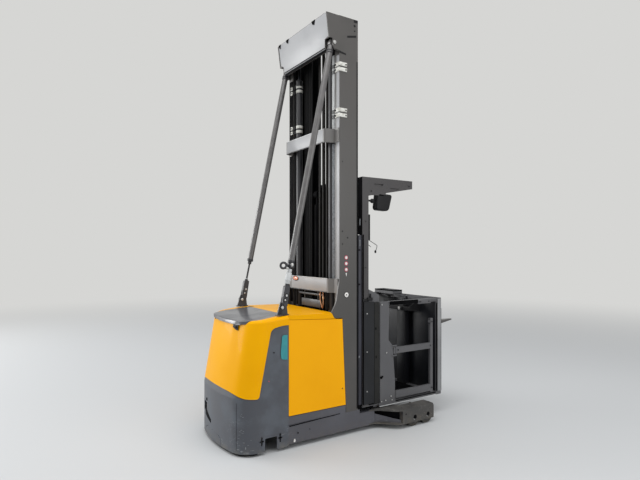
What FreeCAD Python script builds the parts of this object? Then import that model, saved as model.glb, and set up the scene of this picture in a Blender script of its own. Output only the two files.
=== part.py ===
import FreeCAD, Part
import math
import os

# Order picker truck, in millimetres. +X points towards the forks, +Y to the truck's left, +Z up.
# The origin is on the floor, under the middle of the truck's box.

V = FreeCAD.Vector
os.makedirs("parts", exist_ok=True)

# Clearances
SEAT = 0.3
JOINT_LINE = 3.0
RUN_GAP = 6.0
PIN_GAP = 0.3

# Overall sizes
HALF_WIDTH = 450.0
REAR_X = -1320.0
TIP_X = 1325.0
MAST_TOP = 3703.0
DECK_Z = 1100.0

# Low frame
BEAM_FRONT_X = 60.0
BEAM_BOTTOM = 40.0
BEAM_TOP = 200.0
BEAM_NOSE_TOP = 165.0
BEAM_WALL = 12.0
FLOOR_Z = 60.0
BULKHEAD_X = -852.0
BULKHEAD_WALL = 10.0
SILL_TOP = 266.0
SEAM_HEIGHT = 6.0
SEAM_DEPTH = 5.0

# Rear body shell
SKIRT_BOTTOM = 25.0
SHELL_WALL = 9.0
HOOD_WALL = 6.0
HOOD_LEAN = 112.0
CORNER_R = 175.0
HOOD_TOP_REAR_Z = 1060.0
REAR_BOW = 26.0
HOOD_EDGE = 9.0
HOOD_SIDE_Z = 458.0
HOOD_REAR_Z = 513.0
HOOD_TIP_X = -1113.0
PILLAR_TOP_Z = 1023.0
NOTCH_X = (-1057.0, -948.0)
NOTCH_TOP = 130.0

# Hood lid
LID_REAR_X = REAR_X + 111.0
LID_FRONT_X = -830.0
LID_REAR_Y = HALF_WIDTH - 58.0
LID_FRONT_Y = HALF_WIDTH - 112.0
LID_THICK = 24.0
LIP_HALF = HALF_WIDTH - 162.0
LIP_WALL = 8.0
LIP_DROP = 34.0

# Battery doors
DOOR_WALL = 3.0
DOOR_DEPTH = 25.0
DOOR_BOTTOM = SILL_TOP + 5.0
DOOR_TOP_REAR = 1062.0
DOOR_TOP_FRONT = 1033.0
DOOR_FRONT_LOW_X = -265.0
DOOR_FRONT_HIGH_X = -301.0

# Mast
MAST_REAR_X = -331.0
MAST_FRONT_X = -130.0
MAST_FLANGE = 74.0
MAST_WEB = 16.0
MAST_WALL = 14.0
STAGE_BOTTOM = 212.0
PAD_X = (MAST_REAR_X + MAST_FRONT_X) / 2
CYLINDER_X = MAST_REAR_X + 25.0
CYLINDER_Y = HALF_WIDTH - 160.0
BARREL_R = 30.0
ROD_R = 16.0
BARREL_TOP = MAST_TOP - 363.0
ROD_BOTTOM = 300.0
ROD_TOP = MAST_TOP - 103.0

# Stays
STAY_Y = HALF_WIDTH - 45.0
STAY_TOP = (MAST_REAR_X - 57.0, MAST_TOP - 243.0)
STAY_FOOT = (-884.0, DECK_Z + 12.0)
STAY_R = 26.5
STAY_PIN_R = 13.0
STAY_EYE_R = 30.0
STUD_R = 9.0
LINK_HALF = 17.0
FORK_SLOT_HALF = 7.0

# Crossmembers and crosshead
BOW_WALL = 10.0
LOWER_BOW_Z = (DECK_Z + 159.0, DECK_Z + 286.0)
LOWER_BOW_X = MAST_REAR_X - 47.0
LOWER_BOW_HALF = HALF_WIDTH - 114.0
MID_BOW_Z = (MAST_TOP - 1108.0, MAST_TOP - 986.0)
MID_BOW_X = MAST_REAR_X - 95.0
MID_BOW_HALF = HALF_WIDTH - 100.0
HEAD_WALL = 12.0
HEAD_TOP = MAST_TOP - 2.0
HEAD_LOW = MAST_TOP - 296.0
HEAD_REAR_TOP_X = MAST_REAR_X - 137.0
HEAD_REAR_LOW_X = MAST_REAR_X - 99.0
HEAD_NOTCH_TOP = MAST_TOP - 215.0
CLAMP_HEIGHTS = (MAST_TOP - 891.0, MAST_TOP - 845.0, MAST_TOP - 491.0, MAST_TOP - 441.0)
PIPE_R = 6.0
PIPE_TOP = MAST_TOP - 143.0

# Wheels
DRIVE_X = -1040.0
DRIVE_R = 172.0
DRIVE_WIDTH = 114.0
DRIVE_HUB_R = DRIVE_R - 52.0
DRIVE_AXLE_R = 32.0
TURNTABLE_R = 150.0
TURNTABLE_Z = 2 * DRIVE_R + 41.0
TURNTABLE_PLATE = 20.0
MOTOR_R = 118.0
MOTOR_HEIGHT = 295.0
BRAKE_R = 95.0
BRAKE_HEIGHT = 70.0
LOAD_R = 77.0
LOAD_WIDTH = 100.0
LOAD_X = (409.0, 573.0)
BOX_REAR_X = 262.0
BOX_FRONT_X = 653.0
BOX_OUTER_Y = HALF_WIDTH + 164.0
BOX_PLATE = 12.0
BOX_TOP = 175.0
AXLE_R = 15.0
AXLE_FIT = 0.1
ROLLER_R = 28.0
ROLLER_WIDTH = 36.0
ROLLER_X = REAR_X + 140.0
ROLLER_Y = HALF_WIDTH - 62.0
ROLLER_PIN_R = 6.0

# Cab
CAB_REAR_X = -79.0
CAB_FRONT_X = 921.0
CAB_BOTTOM = 186.0
CAB_FLOOR_TOP = 218.0
CAB_TOP = 1158.0
PLATE = 12.0
POST_DEPTH = 71.0
POST_WIDTH = 45.0
POST_WALL = 5.0
GUARD_TOP = 2306.0
GUARD_FRONT_X = 529.0
ENTRY_REAR_X = 116.0
ENTRY_FRONT_X = 309.0
FRONT_WALL_X = 850.0
WALL = 6.0
TOP_RAIL = 34.0
ENTRY_TOP_X = 238.0
BIN_DEPTH = CAB_TOP - CAB_FLOOR_TOP - 400.0
COLUMN_Y = (-64.0, 64.0)
COLUMN_DEPTH = 60.0
DESK_TOP = CAB_TOP - 38.0
DESK_BOTTOM = CAB_TOP - 148.0
DESK_DEPTH = 150.0
DESK_HALF = HALF_WIDTH - 220.0
TRAY_INNER_Y = 130.0
TRAY_HEIGHT = 40.0
GUARD_BAR_PITCH = 80.0
GUARD_BAR_COUNT = 6
GUARD_ARM_TOP_LOW = GUARD_TOP - 76.0
MIRROR_WIDTH = 62.0

# Gates
GATE_DEPTH = 25.0
GATE_PIVOT_X = ENTRY_FRONT_X + 11.0
GATE_PIVOT_Y = HALF_WIDTH
GATE_PIN_R = 3.0
GATE_BARREL_R = 6.0
GATE_FRONT_X = 807.0
GATE_BAR = 34.0
GATE_BAR_Z = (224.0, 959.0)
GATE_MID_Z = (659.0, 716.0)
GATE_LOW_Z = (236.0, 302.0)
GATE_LUG_Z = ((GATE_MID_Z[0] - 23.0, GATE_MID_Z[0] - 13.0), (GATE_MID_Z[1] + 13.0, GATE_MID_Z[1] + 23.0))

# Forks
FORK_TOP = 889.0
FORK_THICK = 35.0
FORK_OUTER_Y = 270.0
FORK_INNER_Y = 160.0
FORK_SHANK = 30.0
FORK_TIP_THICK = 11.0
FORK_MAST_DEPTH = 64.0
FORK_MAST_Y = 210.0
FORK_MAST_WALL = 10.0
FORK_MAST_LIP = 60.0
FORK_SHOE_Z = (992.0, 1122.0)
FORK_PLATE_Z = (858.0, 1100.0)
FORK_PLATE_HALF = 300.0
FORK_PLATE = 17.0

# Lift carriage
CARRIAGE_BOTTOM = 300.0
CARRIAGE_TOP = CAB_TOP - 8.0
LINK_BAR_HEIGHT = 60.0
SHOE_GAP = 9.0
SHOE_WALL = 22.0

# Strands between the stages
CHAIN_Y = (-28.0, -86.0, -150.0)
CHAIN_HALF = 11.0
CHAIN_THICK = 12.0
HOSE_R = 11.0
HOSE_INNER_Y = HALF_WIDTH - 322.0
HOSE_PITCH = 30.0
HOSE_COUNT = 5
FREE_LIFT_Y = 60.0
FREE_LIFT_R = 34.0
FREE_LIFT_TOP = MAST_TOP - 1623.0


def box(x0, x1, y0, y1, z0, z1):
    """Block between two corners."""
    return Part.makeBox(x1 - x0, y1 - y0, z1 - z0, V(x0, y0, z0))


def rod(start, end, radius):
    """Round bar from one point to another."""
    a = V(*start)
    axis = V(*end) - a
    return Part.makeCylinder(radius, axis.Length, a, axis)


def rounded_wire(points, place):
    """Closed wire through (u, v, corner radius) points; place turns u, v into a point."""
    flat = [V(p[0], p[1], 0) for p in points]
    count = len(points)
    ends = []
    for i in range(count):
        here = flat[i]
        back = (flat[i - 1] - here).normalize()
        ahead = (flat[(i + 1) % count] - here).normalize()
        radius = points[i][2] if len(points[i]) > 2 else 0.0
        if radius <= 0.0:
            ends.append((here, here, here))
            continue
        half = math.acos(max(-1.0, min(1.0, back.dot(ahead)))) / 2.0
        reach = radius / math.tan(half)
        middle = (back + ahead).normalize()
        centre = here + middle * (radius / math.sin(half))
        ends.append((here + back * reach, centre - middle * radius, here + ahead * reach))
    edges = []
    for i in range(count):
        first, mid, last = (place(p.x, p.y) for p in ends[i])
        if (first - last).Length > 1e-6:
            edges.append(Part.Arc(first, mid, last).toShape())
        following = place(ends[(i + 1) % count][0].x, ends[(i + 1) % count][0].y)
        if (following - last).Length > 1e-6:
            edges.append(Part.LineSegment(last, following).toShape())
    return Part.Wire(edges)


def plan_prism(points, z0, z1):
    """Prism of a plan outline in X and Y."""
    wire = rounded_wire(points, lambda u, v: V(u, v, z0))
    return Part.Face(wire).extrude(V(0, 0, z1 - z0))


def side_prism(points, y0, y1):
    """Prism of a side outline in X and Z."""
    wire = rounded_wire(points, lambda u, v: V(u, y0, v))
    return Part.Face(wire).extrude(V(0, y1 - y0, 0))


def fuse(*shapes):
    """One solid of several that overlap or touch."""
    whole = shapes[0]
    for shape in shapes[1:]:
        whole = whole.fuse(shape)
    return whole.removeSplitter()


def mirrored(shape):
    """The same piece on the other side of the truck."""
    return shape.mirror(V(0, 0, 0), V(0, 1, 0))


def both_sides(shape):
    """A piece and its mirror image, as two solids of one node."""
    return Part.makeCompound(shape.Solids + mirrored(shape).Solids)


def save(node, shape):
    """Write a node."""
    shape.exportStep("parts/" + node + ".step")


# Rear body form: a plan with round corners, upright below and leaning forward towards its top
BODY_FRONT_X = BULKHEAD_X + BULKHEAD_WALL


def leaning_form(inset):
    """Upper part of the rear body, moved inwards by inset."""
    axis = V(HOOD_LEAN, 0, DECK_Z - HOOD_SIDE_Z).normalize()
    half = HALF_WIDTH - CORNER_R
    rear_r = (half * half + REAR_BOW * REAR_BOW) / (2 * REAR_BOW)
    foot = V(REAR_X + rear_r / axis.z, 0, HOOD_SIDE_Z)
    rear = Part.makeCylinder(rear_r - inset, 3000, foot - axis * 1500, axis)
    block = box(REAR_X - 100, BODY_FRONT_X, -HALF_WIDTH + inset, HALF_WIDTH - inset, HOOD_SIDE_Z, DECK_Z + 100)
    block = block.common(rear)
    corners = [edge for edge in block.Edges
               if edge.BoundBox.ZLength > DECK_Z - HOOD_SIDE_Z and edge.CenterOfMass.x < BODY_FRONT_X - 100]
    return block.makeFillet(CORNER_R - inset, corners)


def body_form(inset, z0, z1):
    """Solid of the rear body between two heights."""
    high = leaning_form(inset)
    foot = min(high.Faces, key=lambda face: face.CenterOfMass.z)
    low = foot.extrude(V(0, 0, -HOOD_SIDE_Z))
    return high.fuse(low).common(box(REAR_X - 200, 0, -HALF_WIDTH - 100, HALF_WIDTH + 100, z0, z1))


def hood_cutter(grow):
    """Space above the hood's lower edge, widened by grow."""
    far_x = REAR_X - 100
    return side_prism([(far_x, HOOD_REAR_Z - grow), (REAR_X + 12, HOOD_REAR_Z - grow, 40),
                       (REAR_X + 78, HOOD_SIDE_Z + 9 - grow, 70), (REAR_X + 160, HOOD_SIDE_Z - grow, 200),
                       (HOOD_TIP_X + grow, HOOD_SIDE_Z - grow, 24), (-1003 + grow, 1001 - grow, 60),
                       (-905, PILLAR_TOP_Z - grow, 90), (0, PILLAR_TOP_Z - grow), (0, 1500), (far_x, 1500)], -700, 700)


def top_plane_cut(lower):
    """Everything above the hood's sloping top, lowered by some depth."""
    z_front = DECK_Z - lower
    z_rear = HOOD_TOP_REAR_Z - lower
    slope = (z_front - z_rear) / (LID_FRONT_X - LID_REAR_X)
    z_far = z_rear - slope * 400.0
    return side_prism([(LID_REAR_X - 400, z_far), (LID_FRONT_X, z_front), (200, z_front), (200, 1600),
                       (LID_REAR_X - 400, 1600)], -700, 700)


def lid_outline(grow):
    return [(LID_REAR_X - grow, -LID_REAR_Y + 60 - grow, 150), (LID_REAR_X - grow, LID_REAR_Y - 60 + grow, 150),
            (-1060, LID_REAR_Y + grow, 160), (LID_FRONT_X + grow, LID_FRONT_Y + grow, 60),
            (LID_FRONT_X + grow, -LID_FRONT_Y - grow, 60), (-1060, -LID_REAR_Y - grow, 160)]


# Dark rear skirt with its side pillars, open below, notched at each side for lifting gear
skirt = body_form(0.0, SKIRT_BOTTOM, DECK_Z).cut(body_form(SHELL_WALL, SKIRT_BOTTOM - 10, DECK_Z + 10))
skirt = skirt.cut(hood_cutter(JOINT_LINE))
skirt = skirt.cut(box(-2000, 0, -700, 700, PILLAR_TOP_Z - JOINT_LINE, 1500))
skirt = skirt.cut(box(BULKHEAD_X, BULKHEAD_X + 50, -HALF_WIDTH + SHELL_WALL, HALF_WIDTH - SHELL_WALL, 0, 1500))
notch = side_prism([(NOTCH_X[0], 0), (NOTCH_X[0], NOTCH_TOP, 12), (NOTCH_X[1], NOTCH_TOP, 12), (NOTCH_X[1], 0)],
                   -700, 700)
skirt = skirt.cut(notch)
for slot_x in (NOTCH_X[0] - 28.0, NOTCH_X[1] + 28.0):
    skirt = skirt.cut(box(slot_x - 7, slot_x + 7, -700, 700, 76, 148))
    skirt = skirt.cut(box(slot_x - 20, slot_x + 20, -700, 700, 104, 118))
socket_hole = box(REAR_X - 80, REAR_X + 70, 190, 300, 215, 300)
skirt = skirt.cut(socket_hole)
bracket_half = ROLLER_WIDTH / 2 + 2.0
cheek_wall = 8.0
carrier = fuse(*[box(ROLLER_X - 18, ROLLER_X + 18, -ROLLER_Y + side, -ROLLER_Y + side + cheek_wall, 18, 110)
                 for side in (-bracket_half - cheek_wall, bracket_half)],
               box(ROLLER_X - 40, ROLLER_X + 60, -ROLLER_Y - bracket_half - cheek_wall, -ROLLER_Y + 40, 100, 112),
               box(ROLLER_X + 40, ROLLER_X + 60, -HALF_WIDTH + SHELL_WALL, -ROLLER_Y + 40, 100, 112))
carrier = carrier.cut(rod((ROLLER_X, -500, ROLLER_R), (ROLLER_X, 0, ROLLER_R), ROLLER_PIN_R))
carrier = carrier.common(body_form(SHELL_WALL / 2, 0.0, 400.0))
skirt = fuse(skirt, carrier, mirrored(carrier))
roller_pin = rod((ROLLER_X, -ROLLER_Y - bracket_half - cheek_wall, ROLLER_R),
                 (ROLLER_X, -ROLLER_Y + bracket_half + cheek_wall, ROLLER_R), ROLLER_PIN_R)
skirt = fuse(skirt, roller_pin, mirrored(roller_pin))
save("rear_skirt", skirt)

for name, side in (("right", -1), ("left", 1)):
    roller = rod((ROLLER_X, side * ROLLER_Y - ROLLER_WIDTH / 2, ROLLER_R),
                 (ROLLER_X, side * ROLLER_Y + ROLLER_WIDTH / 2, ROLLER_R), ROLLER_R)
    roller = roller.cut(rod((ROLLER_X, -600, ROLLER_R), (ROLLER_X, 600, ROLLER_R), ROLLER_PIN_R + PIN_GAP))
    save("support_roller_" + name, roller)

# Yellow drive hood: a thin shell with a pocket for the lid
hood = body_form(0.0, HOOD_SIDE_Z - 20, DECK_Z + 60).cut(top_plane_cut(0.0))
top_edges = [edge for edge in hood.Edges
             if all(v.Point.z > HOOD_TOP_REAR_Z - 60 for v in edge.Vertexes) and edge.BoundBox.XMin < BODY_FRONT_X - 1]
hood = hood.makeChamfer(HOOD_EDGE, top_edges).common(hood_cutter(0.0))
inner = body_form(HOOD_WALL, HOOD_SIDE_Z - 40, DECK_Z + 60).cut(top_plane_cut(LID_THICK + SEAT + HOOD_WALL))
hood = hood.cut(inner)
pocket = plan_prism(lid_outline(JOINT_LINE), 900, 1300)
pocket = pocket.fuse(box(REAR_X - 50, -1100, -LIP_HALF - JOINT_LINE, LIP_HALF + JOINT_LINE, 900, 1300))
pocket = pocket.common(top_plane_cut(LID_THICK + SEAT))
hood = hood.cut(pocket)
save("drive_hood", hood)

# Grey lid, hinged at its front edge, with a lip that hangs over the hood's rear
lip_zone = box(REAR_X - 60, -1100, -LIP_HALF, LIP_HALF, 900, 1300)
lip_form = body_form(-JOINT_LINE - LIP_WALL, 900, DECK_Z + 80).common(lip_zone)
lid = fuse(plan_prism(lid_outline(0.0), 900, 1300), lip_form).common(top_plane_cut(LID_THICK))
lip = lip_form.cut(body_form(-JOINT_LINE, 890, DECK_Z + 90)).common(top_plane_cut(LIP_DROP))
lid = fuse(lid, lip).cut(top_plane_cut(0.0))
save("hood_lid", lid)

# Yellow battery cover: a deck with turned-down sides that meet the doors
DECK_FRONT_X = MAST_REAR_X - 41.0
deck_low_front = DOOR_TOP_FRONT + 8.0
deck_slope_x = (DECK_FRONT_X - 40.0, DECK_FRONT_X - 16.0)
deck_side = [(BODY_FRONT_X, DOOR_TOP_REAR + JOINT_LINE), (BODY_FRONT_X, DECK_Z), (deck_slope_x[0], DECK_Z - 10),
             (deck_slope_x[1], DOOR_TOP_FRONT + 14), (DECK_FRONT_X, deck_low_front)]
deck = side_prism(deck_side, -HALF_WIDTH, HALF_WIDTH)
deck_half = HALF_WIDTH - MAST_WEB - JOINT_LINE
skirt_half = HALF_WIDTH - DOOR_DEPTH - JOINT_LINE
skirt_z = DECK_Z - 100.0
deck_mid = side_prism([(BODY_FRONT_X, DOOR_TOP_REAR + JOINT_LINE), (BODY_FRONT_X, DECK_Z), (deck_slope_x[0], DECK_Z - 10),
                       (DECK_FRONT_X, DECK_Z - 11), (DECK_FRONT_X, deck_low_front)], -deck_half, deck_half)
deck_low = box(BODY_FRONT_X, DECK_FRONT_X, -skirt_half, skirt_half, skirt_z, deck_low_front + 20)
deck = fuse(deck, deck_mid, deck_low)
deck_inner = side_prism([(-2000, skirt_z - 1), (-2000, DECK_Z - HOOD_WALL), (BODY_FRONT_X, DECK_Z - HOOD_WALL),
                         (deck_slope_x[0], DECK_Z - 10 - HOOD_WALL), (DECK_FRONT_X - HOOD_WALL, DECK_Z - 11 - HOOD_WALL),
                         (DECK_FRONT_X - HOOD_WALL, skirt_z - 1)], -skirt_half + HOOD_WALL, skirt_half - HOOD_WALL)
deck = deck.cut(deck_inner).cut(pocket)
save("battery_cover", deck)

def door_edge_x(z):
    """Front edge of a battery door at some height, extended past the door's ends."""
    share = (z - DOOR_BOTTOM) / (DOOR_TOP_FRONT - DOOR_BOTTOM)
    return DOOR_FRONT_LOW_X + (DOOR_FRONT_HIGH_X - DOOR_FRONT_LOW_X) * share


# Low frame: side beams, sills, floor pan, bulkhead and the plate that carries the drive
seat_front_x = MAST_FRONT_X + 20.0
beam = side_prism([(BODY_FRONT_X, BEAM_BOTTOM), (BEAM_FRONT_X, BEAM_BOTTOM),
                   (BEAM_FRONT_X, BEAM_NOSE_TOP), (seat_front_x, BEAM_NOSE_TOP), (seat_front_x, BEAM_TOP),
                   (BODY_FRONT_X, BEAM_TOP)], -HALF_WIDTH, -HALF_WIDTH + BEAM_WALL)
beam = beam.cut(box(BODY_FRONT_X - 1, MAST_REAR_X - 59, -HALF_WIDTH - 1, -HALF_WIDTH + SEAM_DEPTH,
                    BEAM_TOP - SEAM_HEIGHT, BEAM_TOP + 1))
sill_front_x = door_edge_x(SILL_TOP)
sill = box(BODY_FRONT_X, sill_front_x, -HALF_WIDTH, -HALF_WIDTH + BEAM_WALL, BEAM_TOP, SILL_TOP)
floor_pan = box(BODY_FRONT_X, BEAM_FRONT_X, -HALF_WIDTH + BEAM_WALL, HALF_WIDTH - BEAM_WALL,
                FLOOR_Z, FLOOR_Z + PLATE)
seat = box(MAST_REAR_X - 20, seat_front_x, -HALF_WIDTH + BEAM_WALL, -HALF_WIDTH + 90, FLOOR_Z, BEAM_TOP)
bulkhead = box(BULKHEAD_X, BODY_FRONT_X, -HALF_WIDTH + SHELL_WALL, HALF_WIDTH - SHELL_WALL,
               FLOOR_Z, DECK_Z - 60)
door_stop = box(BULKHEAD_X, BULKHEAD_X + 52, -HALF_WIDTH + DOOR_DEPTH + SEAT, -HALF_WIDTH + DOOR_DEPTH + 10,
                FLOOR_Z + 60, skirt_z - JOINT_LINE)
drive_plate = box(DRIVE_X - 150, BULKHEAD_X, -HALF_WIDTH + SHELL_WALL, HALF_WIDTH - SHELL_WALL,
                  TURNTABLE_Z, TURNTABLE_Z + TURNTABLE_PLATE)
drive_plate = drive_plate.common(body_form(SHELL_WALL, TURNTABLE_Z, TURNTABLE_Z + TURNTABLE_PLATE))
nose_bar = box(seat_front_x, BEAM_FRONT_X, -HALF_WIDTH + BEAM_WALL, HALF_WIDTH - BEAM_WALL, FLOOR_Z,
                BEAM_NOSE_TOP)
frame = fuse(floor_pan, beam, mirrored(beam), sill, mirrored(sill), seat, mirrored(seat), bulkhead,
             door_stop, mirrored(door_stop), drive_plate, nose_bar)
save("chassis_frame", frame)

# Battery: one plain heavy block between the doors
battery = box(BODY_FRONT_X + 15, MAST_REAR_X - 45, -HALF_WIDTH + 45, HALF_WIDTH - 45,
              FLOOR_Z + PLATE, 870)
save("battery_block", battery)

# Battery doors: folded trays hinged at their rear edge
door_rear_x = BODY_FRONT_X + JOINT_LINE
door_side = [(door_rear_x, DOOR_BOTTOM), (DOOR_FRONT_LOW_X, DOOR_BOTTOM), (DOOR_FRONT_HIGH_X, DOOR_TOP_FRONT),
             (door_rear_x, DOOR_TOP_REAR)]
door_hollow = [(door_rear_x + DOOR_WALL, DOOR_BOTTOM + DOOR_WALL), (DOOR_FRONT_LOW_X - DOOR_WALL, DOOR_BOTTOM + DOOR_WALL),
               (DOOR_FRONT_HIGH_X - DOOR_WALL, DOOR_TOP_FRONT - DOOR_WALL),
               (door_rear_x + DOOR_WALL, DOOR_TOP_REAR - DOOR_WALL)]
door = side_prism(door_side, -HALF_WIDTH, -HALF_WIDTH + DOOR_DEPTH)
door = door.cut(side_prism(door_hollow, -HALF_WIDTH + DOOR_WALL, -HALF_WIDTH + DOOR_DEPTH + 1))
door_thin = 9.0
door = door.cut(box(MAST_REAR_X - 14, 0, -HALF_WIDTH + door_thin, 0, 0, DECK_Z))
save("battery_door_right", door)
save("battery_door_left", mirrored(door))

# Drive unit: motor above the plate, steered gearbox below it, and its wheel
motor_foot = TURNTABLE_Z + TURNTABLE_PLATE
motor_top = motor_foot + MOTOR_HEIGHT
motor = fuse(rod((DRIVE_X, 0, motor_foot), (DRIVE_X, 0, motor_top), MOTOR_R),
             rod((DRIVE_X, 0, motor_top), (DRIVE_X, 0, motor_top + BRAKE_HEIGHT), BRAKE_R))
save("drive_motor", motor)
arm_y = DRIVE_WIDTH / 2 + RUN_GAP
axle_reach = DRIVE_WIDTH / 2 - 17.0
gearbox = fuse(rod((DRIVE_X, 0, TURNTABLE_Z - SEAT - 26), (DRIVE_X, 0, TURNTABLE_Z - SEAT), TURNTABLE_R),
               side_prism([(DRIVE_X - 75, TURNTABLE_Z - 20, 0), (DRIVE_X - 58, DRIVE_R - 58, 50),
                           (DRIVE_X + 58, DRIVE_R - 58, 50), (DRIVE_X + 75, TURNTABLE_Z - 20, 0)],
                          arm_y, arm_y + 58),
               rod((DRIVE_X, -axle_reach, DRIVE_R), (DRIVE_X, arm_y + 10, DRIVE_R), DRIVE_AXLE_R))
save("steered_gearbox", gearbox)
hub = rod((DRIVE_X, -DRIVE_WIDTH / 2, DRIVE_R), (DRIVE_X, DRIVE_WIDTH / 2, DRIVE_R), DRIVE_HUB_R)
hub = hub.cut(rod((DRIVE_X, -axle_reach - 1, DRIVE_R), (DRIVE_X, DRIVE_WIDTH, DRIVE_R), DRIVE_AXLE_R + PIN_GAP))
hub = hub.cut(rod((DRIVE_X, -DRIVE_WIDTH, DRIVE_R), (DRIVE_X, -DRIVE_WIDTH / 2 + 12, DRIVE_R), DRIVE_HUB_R - 25))
save("drive_hub", hub)
tyre = rod((DRIVE_X, -DRIVE_WIDTH / 2, DRIVE_R), (DRIVE_X, DRIVE_WIDTH / 2, DRIVE_R), DRIVE_R)
tyre = tyre.cut(rod((DRIVE_X, -DRIVE_WIDTH, DRIVE_R), (DRIVE_X, DRIVE_WIDTH, DRIVE_R), DRIVE_HUB_R))
save("drive_tyre", tyre)

# Load-wheel arms: two swept plates each side, with a box of cheeks round the tandem wheels
box_inner_y = BOX_OUTER_Y - 2 * BOX_PLATE - LOAD_WIDTH - 2 * RUN_GAP
arm_plan = [(MAST_FRONT_X + 22, -HALF_WIDTH), (BEAM_FRONT_X, -HALF_WIDTH, 160), (225, -BOX_OUTER_Y, 120),
            (BOX_FRONT_X, -BOX_OUTER_Y, 14), (BOX_FRONT_X, -box_inner_y), (BOX_REAR_X + 60, -box_inner_y, 30),
            (BOX_REAR_X - 60, -HALF_WIDTH + 150, 60), (BEAM_FRONT_X, -HALF_WIDTH + 150), (BEAM_FRONT_X, -HALF_WIDTH + 2 * BEAM_WALL),
            (MAST_FRONT_X + 22, -HALF_WIDTH + 2 * BEAM_WALL)]
outside_beam = box(-300, BEAM_FRONT_X, -HALF_WIDTH, 0, 0, 400)
arm_top = plan_prism(arm_plan, BOX_TOP - BOX_PLATE, BOX_TOP).cut(outside_beam)
arm_low = plan_prism(arm_plan, BEAM_BOTTOM + 2, BEAM_BOTTOM + 2 + BOX_PLATE).cut(outside_beam)
arm_low = arm_low.cut(box(BOX_REAR_X + BOX_PLATE, 900, -700, 0, 0, 100))
cheeks = [box(BOX_REAR_X, BOX_FRONT_X, y - BOX_PLATE, y, BEAM_BOTTOM + 2, BOX_TOP - BOX_PLATE)
          for y in (-BOX_OUTER_Y + BOX_PLATE, -box_inner_y)]
rear_wall = box(BOX_REAR_X, BOX_REAR_X + BOX_PLATE, -BOX_OUTER_Y, -box_inner_y, BEAM_BOTTOM + 2, BOX_TOP - BOX_PLATE)
web = box(BEAM_FRONT_X, BOX_REAR_X, -HALF_WIDTH + 60, -HALF_WIDTH + 72, BEAM_BOTTOM + 2 + BOX_PLATE,
          BOX_TOP - BOX_PLATE)
arm = fuse(arm_top, arm_low, *cheeks, rear_wall, web)
for x in LOAD_X:
    arm = arm.cut(rod((x, -700, LOAD_R), (x, -400, LOAD_R), AXLE_R + AXLE_FIT))
save("load_wheel_arms", both_sides(arm))
axles = [rod((x, -BOX_OUTER_Y + 3, LOAD_R), (x, -box_inner_y, LOAD_R), AXLE_R) for x in LOAD_X]
save("load_axles", both_sides(Part.makeCompound(axles)))
wheel_y = box_inner_y + BOX_PLATE + RUN_GAP
for name, side in (("right", -1), ("left", 1)):
    for place, x in (("rear", LOAD_X[0]), ("front", LOAD_X[1])):
        wheel = rod((x, -wheel_y - LOAD_WIDTH, LOAD_R), (x, -wheel_y, LOAD_R), LOAD_R)
        wheel = wheel.cut(rod((x, -700, LOAD_R), (x, -400, LOAD_R), AXLE_R + PIN_GAP))
        save("load_wheel_" + name + "_" + place, wheel if side < 0 else mirrored(wheel))

# Mast uprights: channels whose side plates flare out over the deck at their foot
plate_side = [(MAST_FRONT_X, BEAM_TOP), (MAST_FRONT_X, MAST_TOP), (MAST_REAR_X, MAST_TOP), (MAST_REAR_X, LOWER_BOW_Z[1], 120),
              (MAST_REAR_X - 34, DECK_Z + 80, 200), (deck_slope_x[0] - 3, DECK_Z - 6), (deck_slope_x[0] + 3, DECK_Z - 9),
              (deck_slope_x[1] + JOINT_LINE, DOOR_TOP_FRONT + 14),
              (door_edge_x(deck_low_front) + JOINT_LINE, deck_low_front), (door_edge_x(BEAM_TOP) + JOINT_LINE, BEAM_TOP)]
side_plate = side_prism(plate_side, -HALF_WIDTH, -HALF_WIDTH + MAST_WEB)
rear_flange = box(MAST_REAR_X, MAST_REAR_X + MAST_WALL, -HALF_WIDTH, -HALF_WIDTH + MAST_FLANGE, DECK_Z - 20, MAST_TOP)
rear_flange_low = box(MAST_REAR_X, MAST_REAR_X + MAST_WALL, -HALF_WIDTH + DOOR_DEPTH + SEAT,
                      -HALF_WIDTH + MAST_FLANGE, BEAM_TOP, DECK_Z - 20)
front_flange = box(MAST_FRONT_X - MAST_WALL, MAST_FRONT_X, -HALF_WIDTH, -HALF_WIDTH + MAST_FLANGE, BEAM_TOP, MAST_TOP)
upright = fuse(side_plate, rear_flange, rear_flange_low, front_flange)
save("mast_uprights", both_sides(upright))


# Crossmembers: bowed plates across the rear flanges
def bow(rear_x, half, end_y, heights):
    """Bowed plate between two heights, with lips on the flanges out to end_y."""
    wall = BOW_WALL
    lip_x = MAST_REAR_X - wall
    lip_y = HALF_WIDTH - MAST_FLANGE + 2
    return plan_prism([(rear_x, -half, 20), (rear_x, half, 20), (lip_x, lip_y, 0), (lip_x, end_y), (MAST_REAR_X, end_y),
                       (MAST_REAR_X, lip_y - wall / 2, 0), (rear_x + wall, half - wall / 2, 14),
                       (rear_x + wall, -half + wall / 2, 14), (MAST_REAR_X, -lip_y + wall / 2, 0),
                       (MAST_REAR_X, -end_y), (lip_x, -end_y), (lip_x, -lip_y, 0)], *heights)


lower_bow = bow(LOWER_BOW_X, LOWER_BOW_HALF, HALF_WIDTH - MAST_WEB - SEAT, LOWER_BOW_Z)
mid_bow = bow(MID_BOW_X, MID_BOW_HALF, HALF_WIDTH - 5.0, MID_BOW_Z)
save("mast_crossmembers", Part.makeCompound([lower_bow, mid_bow]))

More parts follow.
